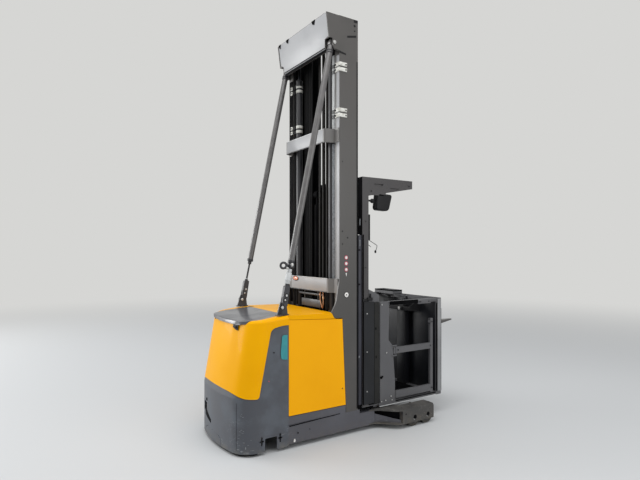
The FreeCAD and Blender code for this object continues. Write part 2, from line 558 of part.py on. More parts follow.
# Crosshead: a leaning rear plate between two cheeks, with a cap above
notch_front = STAY_TOP[0] - 14.0
notch_rear = HEAD_REAR_LOW_X + (HEAD_REAR_TOP_X - HEAD_REAR_LOW_X) * (HEAD_NOTCH_TOP - HEAD_LOW) / (HEAD_TOP - HEAD_LOW)
cheek = side_prism([(HEAD_REAR_TOP_X, HEAD_TOP), (notch_rear, HEAD_NOTCH_TOP), (notch_front, HEAD_NOTCH_TOP),
                    (notch_front, STAY_TOP[1] - 22), (STAY_TOP[0] + 5, STAY_TOP[1] - 68),
                    (MAST_REAR_X, STAY_TOP[1] - 74), (MAST_REAR_X, HEAD_TOP)], -HALF_WIDTH, -HALF_WIDTH + HEAD_WALL)
half_plate = HALF_WIDTH - HEAD_WALL
half_notched = STAY_Y - 33.0
head_plate = side_prism([(HEAD_REAR_TOP_X, HEAD_TOP), (notch_rear, HEAD_NOTCH_TOP), (notch_rear + HEAD_WALL, HEAD_NOTCH_TOP),
                         (HEAD_REAR_TOP_X + HEAD_WALL, HEAD_TOP)], -half_plate, half_plate)
low_plate = side_prism([(notch_rear, HEAD_NOTCH_TOP), (HEAD_REAR_LOW_X, HEAD_LOW), (MAST_REAR_X - 49, HEAD_LOW), (MAST_REAR_X - 49, HEAD_LOW + HEAD_WALL),
                        (HEAD_REAR_LOW_X + HEAD_WALL, HEAD_LOW + HEAD_WALL), (notch_rear + HEAD_WALL, HEAD_NOTCH_TOP)],
                       -half_notched, half_notched)
head_cap = box(HEAD_REAR_TOP_X + HEAD_WALL, MAST_REAR_X, -half_plate, half_plate, HEAD_TOP - HEAD_WALL, HEAD_TOP)
lug = side_prism([(notch_rear + 4, HEAD_NOTCH_TOP + 4), (STAY_TOP[0] + 22, HEAD_NOTCH_TOP + 4), (STAY_TOP[0] + 22, STAY_TOP[1] - 28),
                  (HEAD_REAR_LOW_X + 6, STAY_TOP[1] - 28)], -half_notched, -half_notched + HEAD_WALL)
pin = rod((STAY_TOP[0], -HALF_WIDTH + 4, STAY_TOP[1]), (STAY_TOP[0], -half_notched + 6, STAY_TOP[1]), STAY_PIN_R)
crosshead = fuse(cheek, mirrored(cheek), head_plate, low_plate, head_cap, lug, mirrored(lug), pin, mirrored(pin))
save("mast_crosshead", crosshead)

# Stays: tubes from the crosshead down to rods, links and brackets on the deck
stay_dx = STAY_FOOT[0] - STAY_TOP[0]
stay_dz = STAY_FOOT[1] - STAY_TOP[1]


def stay_point(share):
    return (STAY_TOP[0] + share * stay_dx, -STAY_Y, STAY_TOP[1] + share * stay_dz)


tube = rod(stay_point(0.012), stay_point(0.818), STAY_R)
eye = rod((STAY_TOP[0], -STAY_Y - 20, STAY_TOP[1]), (STAY_TOP[0], -STAY_Y + 20, STAY_TOP[1]), STAY_EYE_R)
tube = fuse(tube, eye).cut(rod((STAY_TOP[0], -600, STAY_TOP[1]), (STAY_TOP[0], 0, STAY_TOP[1]), STAY_PIN_R))
save("stay_tubes", both_sides(tube))
stud = rod(stay_point(0.818), stay_point(0.915), STUD_R)
nut = rod(stay_point(0.895), stay_point(0.903), STUD_R + 7)
link_a = stay_point(0.903)
link_b = stay_point(0.968)
link = side_prism([(link_a[0] - 22, link_a[2] + 4, 10), (link_a[0] + 26, link_a[2] + 4, 10),
                   (link_b[0] + 30, link_b[2] - 16, 14), (link_b[0] - 26, link_b[2] - 16, 14)],
                  -STAY_Y - LINK_HALF, -STAY_Y + LINK_HALF)
link = link.cut(side_prism([(link_b[0] - 60, link_b[2] - 60), (link_b[0] + 60, link_b[2] - 60),
                            (link_b[0] + 60, link_b[2] + 66), (link_b[0] - 60, link_b[2] + 66)],
                           -STAY_Y - FORK_SLOT_HALF, -STAY_Y + FORK_SLOT_HALF))
pin_z = link_b[2] - 2
link = link.cut(rod((link_b[0], -STAY_Y - 30, pin_z), (link_b[0], -STAY_Y + 30, pin_z), STUD_R))
save("stay_ends", both_sides(fuse(stud, nut, link)))
ear = side_prism([(link_b[0] - 62, DECK_Z), (link_b[0] - 26, link_b[2] + 26, 24), (link_b[0] + 26, link_b[2] + 26, 24),
                  (link_b[0] + 40, DECK_Z)], -STAY_Y - FORK_SLOT_HALF + SEAT, -STAY_Y + FORK_SLOT_HALF - SEAT)
foot = box(link_b[0] - 66, link_b[0] + 44, -STAY_Y - 20, -STAY_Y + 20, DECK_Z, DECK_Z + 8)
ear_pin = rod((link_b[0], -STAY_Y - 24, pin_z), (link_b[0], -STAY_Y + 24, pin_z), STUD_R)
save("stay_brackets", both_sides(fuse(ear, foot, ear_pin)))

# Lift cylinders: bored barrels on the frame, rods that rise with the middle stage
barrel = rod((CYLINDER_X, -CYLINDER_Y, FLOOR_Z + PLATE), (CYLINDER_X, -CYLINDER_Y, BARREL_TOP), BARREL_R)
barrel = barrel.cut(rod((CYLINDER_X, -CYLINDER_Y, ROD_BOTTOM - 20), (CYLINDER_X, -CYLINDER_Y, BARREL_TOP + 1), ROD_R + 2))
save("lift_barrels", both_sides(barrel))
ram = rod((CYLINDER_X, -CYLINDER_Y, ROD_BOTTOM), (CYLINDER_X, -CYLINDER_Y, ROD_TOP), ROD_R)
save("lift_rods", both_sides(ram))

# Middle stage: channels that run inside the uprights, joined behind at the top and in front below
def stage_channel(outer_y, rear_x, front_x, depth, web_wall, wall, z0, z1):
    channel_web = box(rear_x, front_x, -outer_y, -outer_y + web_wall, z0, z1)
    rear = box(rear_x, rear_x + wall, -outer_y, -outer_y + depth, z0, z1)
    front = box(front_x - wall, front_x, -outer_y, -outer_y + depth, z0, z1)
    return fuse(channel_web, rear, front)


mid_outer = HALF_WIDTH - MAST_WEB - 8.0
mid_rear = MAST_REAR_X + MAST_WALL + 12.0
mid_front = MAST_FRONT_X - MAST_WALL - 12.0
mid_top = MAST_TOP - 23.0
mid_channel = stage_channel(mid_outer, mid_rear, mid_front, 76, MAST_WALL, MAST_WALL, STAGE_BOTTOM, mid_top)


def pad(outer_face, inner_face, z0):
    """Low-friction pad on a stage's foot that runs along the web outside it."""
    return box(PAD_X - 22, PAD_X + 22, -outer_face + SEAT, -inner_face, z0, z0 + 90)


mid_pad = pad(HALF_WIDTH - MAST_WEB, mid_outer, STAGE_BOTTOM + 4)
middle = fuse(mid_channel, mirrored(mid_channel), mid_pad, mirrored(mid_pad),
              box(mid_rear, mid_rear + MAST_WALL, -mid_outer, mid_outer, ROD_TOP, mid_top),
              box(mid_front - MAST_WALL, mid_front, -mid_outer, mid_outer, STAGE_BOTTOM, STAGE_BOTTOM + 60))
save("middle_mast", middle)

# Inner stage: narrower channels inside the middle ones
in_outer = mid_outer - MAST_WALL - 10.0
in_rear = mid_rear + MAST_WALL + 8.0
in_front = mid_front - MAST_WALL - 8.0
in_wall = 12.0
in_top = mid_top - 40.0
in_channel = stage_channel(in_outer, in_rear, in_front, 72, MAST_WALL, in_wall, STAGE_BOTTOM + 12, in_top)
in_pad = pad(mid_outer - MAST_WALL, in_outer, STAGE_BOTTOM + 16)
inner_stage = fuse(in_channel, mirrored(in_channel), in_pad, mirrored(in_pad),
                   box(in_rear, in_rear + in_wall, -in_outer, in_outer, in_top - 80, in_top),
                   box(in_front - in_wall, in_front, -in_outer, in_outer, STAGE_BOTTOM + 12, STAGE_BOTTOM + 72))
save("inner_mast", inner_stage)
free_x = (in_rear + in_front) / 2
free_foot = STAGE_BOTTOM + 84.0
free_base = box(in_rear + in_wall + 3, in_front, FREE_LIFT_Y - 50, FREE_LIFT_Y + 50, STAGE_BOTTOM + 72, free_foot)
free_cyl = fuse(free_base, rod((free_x, FREE_LIFT_Y, free_foot), (free_x, FREE_LIFT_Y, FREE_LIFT_TOP), FREE_LIFT_R),
                rod((free_x, FREE_LIFT_Y, FREE_LIFT_TOP), (free_x, FREE_LIFT_Y, FREE_LIFT_TOP + 80), 18.0),
                rod((free_x, FREE_LIFT_Y - 30, FREE_LIFT_TOP + 100), (free_x, FREE_LIFT_Y + 30, FREE_LIFT_TOP + 100), 38.0))
save("free_lift_cylinder", free_cyl)
strand_x = in_rear + in_wall
strand_foot = STAGE_BOTTOM + 118.0
chains = [box(strand_x, strand_x + CHAIN_THICK, y - CHAIN_HALF, y + CHAIN_HALF, strand_foot, in_top - 5) for y in CHAIN_Y]
save("mast_chains", Part.makeCompound(chains))
hose_x = strand_x + HOSE_R + SEAT
hoses = [rod((hose_x, y, strand_foot), (hose_x, y, in_top - 5), HOSE_R)
         for y in (HOSE_INNER_Y + HOSE_PITCH * step for step in range(HOSE_COUNT))]
save("mast_hoses", Part.makeCompound(hoses))

# Pipes up the rear flanges, with their double clamps
pipe_y = HALF_WIDTH - MAST_FLANGE - 16.0
pipe_x = MAST_REAR_X + 10.0
pipes = []
for y in (pipe_y, pipe_y - 20.0):
    pipes.append(rod((pipe_x - 2, -y, STAGE_BOTTOM + 88), (pipe_x - 2, -y, PIPE_TOP), PIPE_R))
for z in CLAMP_HEIGHTS:
    pipes.append(box(pipe_x - 10, pipe_x + 6, -pipe_y - 16, -pipe_y + 29, z, z + 34))
save("mast_pipes", both_sides(fuse(*pipes)))

# Lift carriage: shoes in the inner stage, brought round its lips to a plate behind the cab
shoe_rear = in_rear + in_wall + SHOE_GAP
shoe_front = in_front - in_wall - SHOE_GAP
shoe_outer = in_outer - MAST_WALL - 8.0
lip_y = in_outer - 72.0 - 8.0
plate_x = MAST_FRONT_X + 18.0
plate_front = plate_x + 17.0
shoes = box(shoe_rear, shoe_front, -shoe_outer, -lip_y + SHOE_WALL, CARRIAGE_BOTTOM, CARRIAGE_TOP)
arm_in = box(shoe_rear, plate_front, -lip_y, -lip_y + SHOE_WALL, CARRIAGE_BOTTOM, CARRIAGE_TOP)
back_plate = box(plate_x, plate_front, -lip_y, lip_y, CARRIAGE_BOTTOM + 20, CARRIAGE_TOP - 10)
link_bars = [box(plate_front, CAB_REAR_X, -lip_y, lip_y, z, z + LINK_BAR_HEIGHT)
             for z in (CARRIAGE_BOTTOM + 40, CARRIAGE_TOP - 90)]
shoe_pad = pad(in_outer - MAST_WALL, shoe_outer, CARRIAGE_BOTTOM + 20)
carriage = fuse(shoes, mirrored(shoes), shoe_pad, mirrored(shoe_pad), arm_in, mirrored(arm_in), back_plate, *link_bars)
save("lift_carriage", carriage)

# Cab floor, back wall with recessed cheeks, entry posts with top rails, front wall
cab_floor = box(CAB_REAR_X, CAB_FRONT_X, -HALF_WIDTH, HALF_WIDTH, CAB_BOTTOM, CAB_FLOOR_TOP)
cab_floor = cab_floor.cut(box(CAB_REAR_X + 40, CAB_FRONT_X - 40, -HALF_WIDTH + 30, HALF_WIDTH - 30,
                              CAB_BOTTOM - 1, CAB_FLOOR_TOP - WALL))
for y0, y1 in ((-HALF_WIDTH - 1, -HALF_WIDTH + 24), (HALF_WIDTH - 24, HALF_WIDTH + 1)):
    cab_floor = cab_floor.cut(box(CAB_REAR_X - 1, ENTRY_REAR_X, y0, y1, CAB_BOTTOM - 1, CAB_FLOOR_TOP - WALL))
save("cab_floor", cab_floor)
recess_y = HALF_WIDTH - POST_WIDTH
back = box(CAB_REAR_X, CAB_REAR_X + 20, -recess_y, recess_y, CAB_FLOOR_TOP, CAB_TOP)
recess = box(CAB_REAR_X, ENTRY_REAR_X + PLATE, -recess_y - WALL, -recess_y, CAB_FLOOR_TOP, CAB_TOP)
recess_end = box(ENTRY_REAR_X, ENTRY_REAR_X + PLATE, -HALF_WIDTH + PLATE, -recess_y, CAB_FLOOR_TOP, CAB_TOP)
post_space = box(CAB_REAR_X, CAB_REAR_X + POST_DEPTH, -HALF_WIDTH, -recess_y, 0, 3000)
cab_back = fuse(back, recess.cut(post_space), mirrored(recess.cut(post_space)), recess_end, mirrored(recess_end))
save("cab_back_wall", cab_back)
entry = side_prism([(ENTRY_REAR_X, CAB_BOTTOM), (ENTRY_REAR_X, CAB_TOP), (ENTRY_TOP_X, CAB_TOP),
                    (ENTRY_TOP_X - 8, GATE_MID_Z[1] + 80), (ENTRY_FRONT_X - 29, GATE_MID_Z[1] + 20),
                    (ENTRY_FRONT_X, 400), (ENTRY_FRONT_X, CAB_BOTTOM + 12)], -HALF_WIDTH, -HALF_WIDTH + PLATE)
entry = entry.cut(box(-200, 1000, -HALF_WIDTH - 1, HALF_WIDTH, CAB_BOTTOM - 1, CAB_FLOOR_TOP))
top_rail = box(ENTRY_TOP_X, FRONT_WALL_X, -HALF_WIDTH, -HALF_WIDTH + 30, CAB_TOP - TOP_RAIL, CAB_TOP)
lugs = [box(GATE_PIVOT_X - 50, GATE_PIVOT_X + GATE_BARREL_R, -GATE_PIVOT_Y - GATE_BARREL_R,
            -GATE_PIVOT_Y + GATE_BARREL_R, z0, z1) for z0, z1 in GATE_LUG_Z]
gate_pin = rod((GATE_PIVOT_X, -GATE_PIVOT_Y, GATE_LUG_Z[0][0]), (GATE_PIVOT_X, -GATE_PIVOT_Y, GATE_LUG_Z[1][1]), GATE_PIN_R)
entry = fuse(entry, top_rail, *lugs, gate_pin)
save("entry_frames", both_sides(entry))
front_wall = box(FRONT_WALL_X, CAB_FRONT_X, -HALF_WIDTH, HALF_WIDTH, CAB_FLOOR_TOP, CAB_TOP)
front_wall = front_wall.cut(box(FRONT_WALL_X + WALL, CAB_FRONT_X - WALL, -HALF_WIDTH + WALL, HALF_WIDTH - WALL,
                                CAB_TOP - BIN_DEPTH, CAB_TOP + 1))
save("front_wall", front_wall)

# Console column, desk and tray on the front wall
column = box(FRONT_WALL_X - COLUMN_DEPTH, FRONT_WALL_X, *COLUMN_Y, CAB_FLOOR_TOP, DESK_BOTTOM)
desk = side_prism([(FRONT_WALL_X, DESK_BOTTOM), (FRONT_WALL_X - DESK_DEPTH, DESK_BOTTOM, 10),
                   (FRONT_WALL_X - DESK_DEPTH, DESK_BOTTOM + 40, 10), (FRONT_WALL_X - 40, DESK_TOP, 20),
                   (FRONT_WALL_X, DESK_TOP)], -DESK_HALF, DESK_HALF)
save("control_console", fuse(column, desk))
tray_rear_x = FRONT_WALL_X - COLUMN_DEPTH
tray = box(tray_rear_x, CAB_FRONT_X, TRAY_INNER_Y, HALF_WIDTH - WALL, CAB_TOP, CAB_TOP + TRAY_HEIGHT)
tray = tray.cut(box(tray_rear_x + WALL, CAB_FRONT_X - WALL, TRAY_INNER_Y + WALL, HALF_WIDTH - 2 * WALL,
                    CAB_TOP + WALL, CAB_TOP + TRAY_HEIGHT + 1))
save("top_tray", tray)

# Overhead guard: hollow posts, tapering side arms, cross bars
post = box(CAB_REAR_X, CAB_REAR_X + POST_DEPTH, -HALF_WIDTH, -HALF_WIDTH + POST_WIDTH, CAB_FLOOR_TOP, GUARD_TOP)
post = post.cut(box(CAB_REAR_X + POST_WALL, CAB_REAR_X + POST_DEPTH - POST_WALL, -HALF_WIDTH + POST_WALL,
                    -HALF_WIDTH + POST_WIDTH - POST_WALL, CAB_FLOOR_TOP + 20, GUARD_TOP - POST_WALL))
arm_side = side_prism([(CAB_REAR_X + POST_DEPTH, GUARD_TOP), (GUARD_FRONT_X, GUARD_TOP), (GUARD_FRONT_X, GUARD_ARM_TOP_LOW),
                       (GUARD_FRONT_X - 159, GUARD_TOP - 102), (212, GUARD_TOP - 127), (173, GUARD_TOP - 160, 20),
                       (CAB_REAR_X + POST_DEPTH, GUARD_TOP - 162)],
                      -HALF_WIDTH, -HALF_WIDTH + 10)
ledge = box(CAB_REAR_X + POST_DEPTH, GUARD_FRONT_X, -HALF_WIDTH, -HALF_WIDTH + POST_WIDTH, GUARD_TOP - 6, GUARD_TOP)
bars = [box(x, x + 12, -HALF_WIDTH + 10, HALF_WIDTH - 10, GUARD_TOP - 50, GUARD_TOP - 6)
        for x in (CAB_REAR_X + POST_DEPTH + GUARD_BAR_PITCH * (step + 1) for step in range(GUARD_BAR_COUNT))]
rear_bar = box(CAB_REAR_X + 10, CAB_REAR_X + POST_DEPTH, -recess_y, recess_y, GUARD_TOP - 90, GUARD_TOP)
brow = box(GUARD_FRONT_X - 12, GUARD_FRONT_X, -HALF_WIDTH + 10, HALF_WIDTH - 10, GUARD_ARM_TOP_LOW, GUARD_TOP)
guard = fuse(post, mirrored(post), arm_side, mirrored(arm_side), ledge, mirrored(ledge), rear_bar, brow, *bars)
save("overhead_guard", guard)

# Mirror under the right arm
mirror_y = -HALF_WIDTH + 10.0
mirror = side_prism([(84, GUARD_TOP - 296, 40), (236, GUARD_TOP - 302, 40), (276, GUARD_TOP - 146, 24),
                     (104, GUARD_TOP - 138, 24)], mirror_y, mirror_y + MIRROR_WIDTH)
stem = rod((190, mirror_y + 20, GUARD_TOP - 176), (190, mirror_y + 20, GUARD_TOP - 6), 9.0)
save("mirror", fuse(mirror, stem))

# Side gates: rails and a front bar on a hinge barrel
rail_mid = box(ENTRY_FRONT_X - 17, GATE_FRONT_X, -HALF_WIDTH, -HALF_WIDTH + GATE_DEPTH, *GATE_MID_Z)
rail_low = box(ENTRY_FRONT_X + RUN_GAP, GATE_FRONT_X, -HALF_WIDTH, -HALF_WIDTH + GATE_DEPTH, *GATE_LOW_Z)
gate_bar = box(GATE_FRONT_X - GATE_BAR, GATE_FRONT_X, -HALF_WIDTH, -HALF_WIDTH + GATE_DEPTH, *GATE_BAR_Z)
gate_barrel = rod((GATE_PIVOT_X, -GATE_PIVOT_Y, GATE_LUG_Z[0][1] + SEAT),
                  (GATE_PIVOT_X, -GATE_PIVOT_Y, GATE_LUG_Z[1][0] - SEAT), GATE_BARREL_R)
gate = fuse(rail_mid, rail_low, gate_bar, gate_barrel)
gate = gate.cut(rod((GATE_PIVOT_X, -GATE_PIVOT_Y, 0), (GATE_PIVOT_X, -GATE_PIVOT_Y, 2000), GATE_PIN_R + PIN_GAP))
save("side_gate_right", gate)
save("side_gate_left", mirrored(gate))

# Fork mast: two channels on the front wall
fm_front = CAB_FRONT_X + FORK_MAST_DEPTH
fm_bottom = CAB_BOTTOM + 14.0
fm_top = CAB_TOP - 28.0
fork_channel = fuse(box(CAB_FRONT_X, fm_front, -FORK_MAST_Y, -FORK_MAST_Y + FORK_MAST_WALL, fm_bottom, fm_top),
                    box(CAB_FRONT_X, CAB_FRONT_X + FORK_MAST_WALL, -FORK_MAST_Y, -FORK_MAST_Y + FORK_MAST_LIP,
                        fm_bottom, fm_top),
                    box(fm_front - FORK_MAST_WALL, fm_front, -FORK_MAST_Y, -FORK_MAST_Y + FORK_MAST_LIP,
                        fm_bottom, fm_top))
save("fork_mast", both_sides(fork_channel))

# Fork carriage: shoes in the channels and a plate in front
fs_outer = FORK_MAST_Y - FORK_MAST_WALL - RUN_GAP
fs_inner = FORK_MAST_Y - FORK_MAST_LIP - RUN_GAP
carriage_x = fm_front + 8.0
fork_shoe = box(CAB_FRONT_X + FORK_MAST_WALL + RUN_GAP, fm_front - FORK_MAST_WALL - RUN_GAP, -fs_outer, -fs_inner + 24,
                *FORK_SHOE_Z)
fork_pad = box(CAB_FRONT_X + 25, fm_front - 25, -fs_outer - RUN_GAP + SEAT, -fs_outer,
               FORK_SHOE_Z[0] + 8, FORK_SHOE_Z[0] + 68)
fork_arm = box(CAB_FRONT_X + FORK_MAST_WALL + RUN_GAP, carriage_x + 10, -fs_inner, -fs_inner + 24,
               FORK_SHOE_Z[0], FORK_PLATE_Z[1] - 10)
fork_plate = box(carriage_x, carriage_x + FORK_PLATE, -FORK_PLATE_HALF, FORK_PLATE_HALF, *FORK_PLATE_Z)
fork_plate = fork_plate.cut(box(carriage_x - 1, carriage_x + FORK_PLATE + 1, -90, 90,
                                FORK_PLATE_Z[0] + 42, FORK_PLATE_Z[1] - 50))
save("fork_carriage", fuse(fork_shoe, mirrored(fork_shoe), fork_pad, mirrored(fork_pad), fork_arm, mirrored(fork_arm),
                           fork_plate))

# Forks: shanks on the plate and blades that taper to a point
shank_x = carriage_x + FORK_PLATE
shank = box(shank_x, shank_x + FORK_SHANK, -FORK_OUTER_Y, -FORK_INNER_Y, FORK_TOP - FORK_THICK, FORK_PLATE_Z[1] - 4)
blade = plan_prism([(shank_x, -FORK_OUTER_Y), (shank_x + 90, -FORK_OUTER_Y), (TIP_X, -FORK_OUTER_Y + 46, 8),
                    (TIP_X, -FORK_INNER_Y - 40, 8), (shank_x + 90, -FORK_INNER_Y), (shank_x, -FORK_INNER_Y)],
                   FORK_TOP - FORK_THICK, FORK_TOP)
blade = blade.cut(side_prism([(shank_x + 60, FORK_TOP - FORK_THICK - 1), (TIP_X + 1, FORK_TOP - FORK_THICK - 1),
                              (TIP_X + 1, FORK_TOP - FORK_TIP_THICK), (shank_x + 60, FORK_TOP - FORK_THICK)], -600, 600))
save("forks", both_sides(fuse(shank, blade)))
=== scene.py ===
# Order picker truck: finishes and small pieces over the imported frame.
# Metres. +X points towards the forks, +Y to the truck's left, +Z up, floor at zero.
from math import cos, pi, radians, sin

import bpy
import bmesh
from mathutils import Matrix, Vector


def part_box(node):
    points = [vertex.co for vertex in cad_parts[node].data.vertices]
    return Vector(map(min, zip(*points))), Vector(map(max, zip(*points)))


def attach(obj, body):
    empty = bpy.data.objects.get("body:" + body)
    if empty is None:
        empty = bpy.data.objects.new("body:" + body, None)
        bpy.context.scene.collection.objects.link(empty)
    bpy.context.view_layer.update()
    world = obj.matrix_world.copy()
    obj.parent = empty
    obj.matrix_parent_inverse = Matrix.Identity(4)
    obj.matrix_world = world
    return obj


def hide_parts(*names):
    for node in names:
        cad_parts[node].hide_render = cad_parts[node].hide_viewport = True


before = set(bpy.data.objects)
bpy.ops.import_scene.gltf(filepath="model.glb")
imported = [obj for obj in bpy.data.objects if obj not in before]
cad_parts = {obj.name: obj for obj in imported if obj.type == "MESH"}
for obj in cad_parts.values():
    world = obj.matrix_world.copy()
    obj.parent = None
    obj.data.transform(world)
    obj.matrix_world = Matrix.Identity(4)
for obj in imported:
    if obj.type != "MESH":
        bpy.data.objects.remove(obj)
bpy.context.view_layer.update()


# Sizes and places read from the frame
upright_low, upright_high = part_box("mast_uprights")
head_low, head_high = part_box("mast_crosshead")
cross_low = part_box("mast_crossmembers")[0]
skirt_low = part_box("rear_skirt")[0]
arms_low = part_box("load_wheel_arms")[0]
barrel_low, barrel_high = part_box("lift_barrels")
tray_low, tray_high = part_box("top_tray")
hub_low, hub_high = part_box("drive_hub")

SIDE_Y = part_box("entry_frames")[0].y
MAST_SIDE_Y = upright_low.y
MAST_REAR_X = upright_high.x - 0.201


def add_object(name, data):
    """Object in the scene for a mesh, camera or lamp."""
    made = bpy.data.objects.new(name, data)
    bpy.context.scene.collection.objects.link(made)
    return made


# Camera at the photograph's place: level, turned a little left of the truck's long axis
CAMERA_PLACE = (-2.838, -4.037, 1.64)
CAMERA_TURN = radians(-32.7)
CAMERA_LENS = 28.01
HORIZON_SHIFT = 10 / 640

camera_data = bpy.data.cameras.new("photo_camera")
camera_data.lens = CAMERA_LENS
camera_data.shift_y = HORIZON_SHIFT
camera = add_object("photo_camera", camera_data)
camera.location = CAMERA_PLACE
camera.rotation_euler = (pi / 2, 0.0, CAMERA_TURN)
bpy.context.scene.camera = camera
bpy.context.scene.view_settings.view_transform = "Standard"


def rgb(red, green, blue):
    """Screen colour, 0 to 255, as the linear colour the shaders take."""
    def channel(value):
        """One channel of the colour."""
        value = value / 255
        return value / 12.92 if value <= 0.04045 else ((value + 0.055) / 1.055) ** 2.4
    return (channel(red), channel(green), channel(blue), 1.0)


class Graph:
    """Short calls for the shader nodes of one tree."""

    def __init__(self, tree):
        self.nodes = tree.nodes
        self.links = tree.links

    def put(self, socket, value):
        """Gives a socket a value, or a link from another socket."""
        if isinstance(value, bpy.types.NodeSocket):
            self.links.new(value, socket)
        else:
            socket.default_value = value

    def add(self, kind, inputs=None, **settings):
        """Node with its settings and inputs. Returns its outputs."""
        node = self.nodes.new("ShaderNode" + kind)
        for label, value in settings.items():
            setattr(node, label, value)
        for label, value in (inputs or {}).items():
            self.put(node.inputs[label], value)
        return node.outputs

    def math(self, operation, first, second):
        """Result of two values."""
        return self.add("Math", {0: first, 1: second}, operation=operation)[0]

    def ramp(self, value, low, high):
        """Value spread smoothly from 0 at low to 1 at high."""
        return self.add("MapRange", {"Value": value, "From Min": low, "From Max": high},
                        interpolation_type="SMOOTHSTEP")["Result"]

    def mix(self, share, first, second):
        """Colour mixed from first to second by share."""
        return self.add("Mix", {0: share, 6: first, 7: second}, data_type="RGBA")[2]

    def noise(self, vector, scale, detail):
        """Noise value on a vector."""
        return self.add("TexNoise", {"Vector": vector, "Scale": scale, "Detail": detail})["Fac"]

    def place(self):
        """Place on the object."""
        return self.add("TexCoord")["Object"]

    def below(self, place, top):
        """Share that falls from 1 at the floor to 0 at a height."""
        height = self.add("SeparateXYZ", {0: place})["Z"]
        return self.math("SUBTRACT", 1.0, self.ramp(height, 0.0, top))

    def direct_view(self):
        """1 where the camera looks straight, through glass or by a mirror image, and 0 for other light."""
        path = self.add("LightPath")
        shown = self.math("MAXIMUM", path["Is Camera Ray"], path["Is Transmission Ray"])
        return self.math("MAXIMUM", shown, path["Is Glossy Ray"])


# Shader groups shared by the finishes
def new_group(name, inputs, outputs):
    """Empty node group with sockets of the given names and kinds. Returns it, its graph, inputs and outputs."""
    group = bpy.data.node_groups.new(name, "ShaderNodeTree")
    for way, sockets in (("INPUT", inputs), ("OUTPUT", outputs)):
        for label, kind in sockets.items():
            group.interface.new_socket(label, in_out=way, socket_type="NodeSocket" + kind)
    given = group.nodes.new("NodeGroupInput").outputs
    made = group.nodes.new("NodeGroupOutput").inputs
    return group, Graph(group), given, made


def layer_group(name, tint, reach, mask):
    """Group that lays a second colour over the first, where mask says so from the place and the reach."""
    group, graph, given, made = new_group(
        name, {"Colour": "Color", tint: "Color", reach: "Float", "Amount": "Float"},
        {"Colour": "Color", "Mask": "Float"})
    share = graph.math("MULTIPLY", mask(graph, graph.place(), given[reach]), given["Amount"])
    graph.put(made["Colour"], graph.mix(share, given["Colour"], given[tint]))
    graph.put(made["Mask"], share)
    return group


def patch_mask(graph, place, scale):
    """Broad soft patches."""
    return graph.ramp(graph.noise(place, scale, 5.0), 0.38, 0.68)


def scuff_mask(graph, place, top):
    """Short rubbed marks that gather below a height."""
    stretched = graph.add("Mapping", {"Vector": place, "Scale": (14.0, 14.0, 46.0), "Rotation": (0.16, -0.2, 0.0)})
    lines = graph.ramp(graph.noise(stretched["Vector"], 2.6, 9.0), 0.55, 0.72)
    gather = graph.ramp(graph.noise(place, 5.0, 5.0), 0.44, 0.68)
    return graph.math("MULTIPLY", graph.math("MULTIPLY", lines, gather), graph.below(place, top))


def grime_mask(graph, place, top):
    """Cloudy floor dirt that fades out above a height."""
    cloud = graph.ramp(graph.noise(place, 16.0, 6.0), 0.3, 0.75)
    return graph.math("MULTIPLY", cloud, graph.below(place, top))


def relief_group():
    """Fine surface relief: a pebble from noise, as a normal."""
    group, graph, given, made = new_group("surface relief", {"Scale": "Float", "Strength": "Float"},
                                          {"Normal": "Vector"})
    pebble = graph.noise(graph.place(), given["Scale"], 2.0)
    bump = graph.add("Bump", {"Distance": 0.001, "Strength": given["Strength"], "Height": pebble})
    graph.put(made["Normal"], bump["Normal"])
    return group


PATCHES = layer_group("paint patches", "Patch", "Scale", patch_mask)
SCUFFS = layer_group("handling scuffs", "Scuff", "Top", scuff_mask)
FOOT_GRIME = layer_group("foot grime", "Grime", "Top", grime_mask)
RELIEF = relief_group()
WORN_ROUGHER = 0.25


def finish(name, colour, rough, patch, patch_scale, patch_amount, scuff=None, grime=None, coat=(0.0, 0.2),
           relief=(260.0, 0.08), metallic=0.0, specular=0.5):
    """Finish from a screen colour with soft patches of a second one, scuffs, floor dirt and a fine relief.

    scuff and grime give a colour, the height they reach and an amount. coat gives a weight and a roughness, and
    relief a scale and a strength.
    """
    made = bpy.data.materials.new(name)
    made.use_nodes = True
    graph = Graph(made.node_tree)
    layer = graph.add("Group", {"Colour": rgb(*colour), "Patch": rgb(*patch), "Scale": patch_scale,
                                "Amount": patch_amount}, node_tree=PATCHES)
    tone, worn = layer["Colour"], layer["Mask"]
    for tree, label, wear in ((SCUFFS, "Scuff", scuff), (FOOT_GRIME, "Grime", grime)):
        if wear:
            tint, top, amount = wear
            layer = graph.add("Group", {"Colour": tone, label: rgb(*tint), "Top": top, "Amount": amount},
                              node_tree=tree)
            tone = layer["Colour"]
            worn = graph.math("ADD", worn, layer["Mask"])
    dull = graph.add("MapRange", {"Value": worn, "To Min": rough, "To Max": min(1.0, rough + WORN_ROUGHER)})
    skin = graph.add("Group", {"Scale": relief[0], "Strength": relief[1]}, node_tree=RELIEF)
    shader = graph.nodes["Principled BSDF"].inputs
    for label, value in (("Base Color", tone), ("Roughness", dull["Result"]), ("Normal", skin["Normal"]),
                         ("Metallic", metallic), ("Coat Weight", coat[0]), ("Coat Roughness", coat[1]),
                         ("Specular IOR Level", specular)):
        graph.put(shader[label], value)
    return made


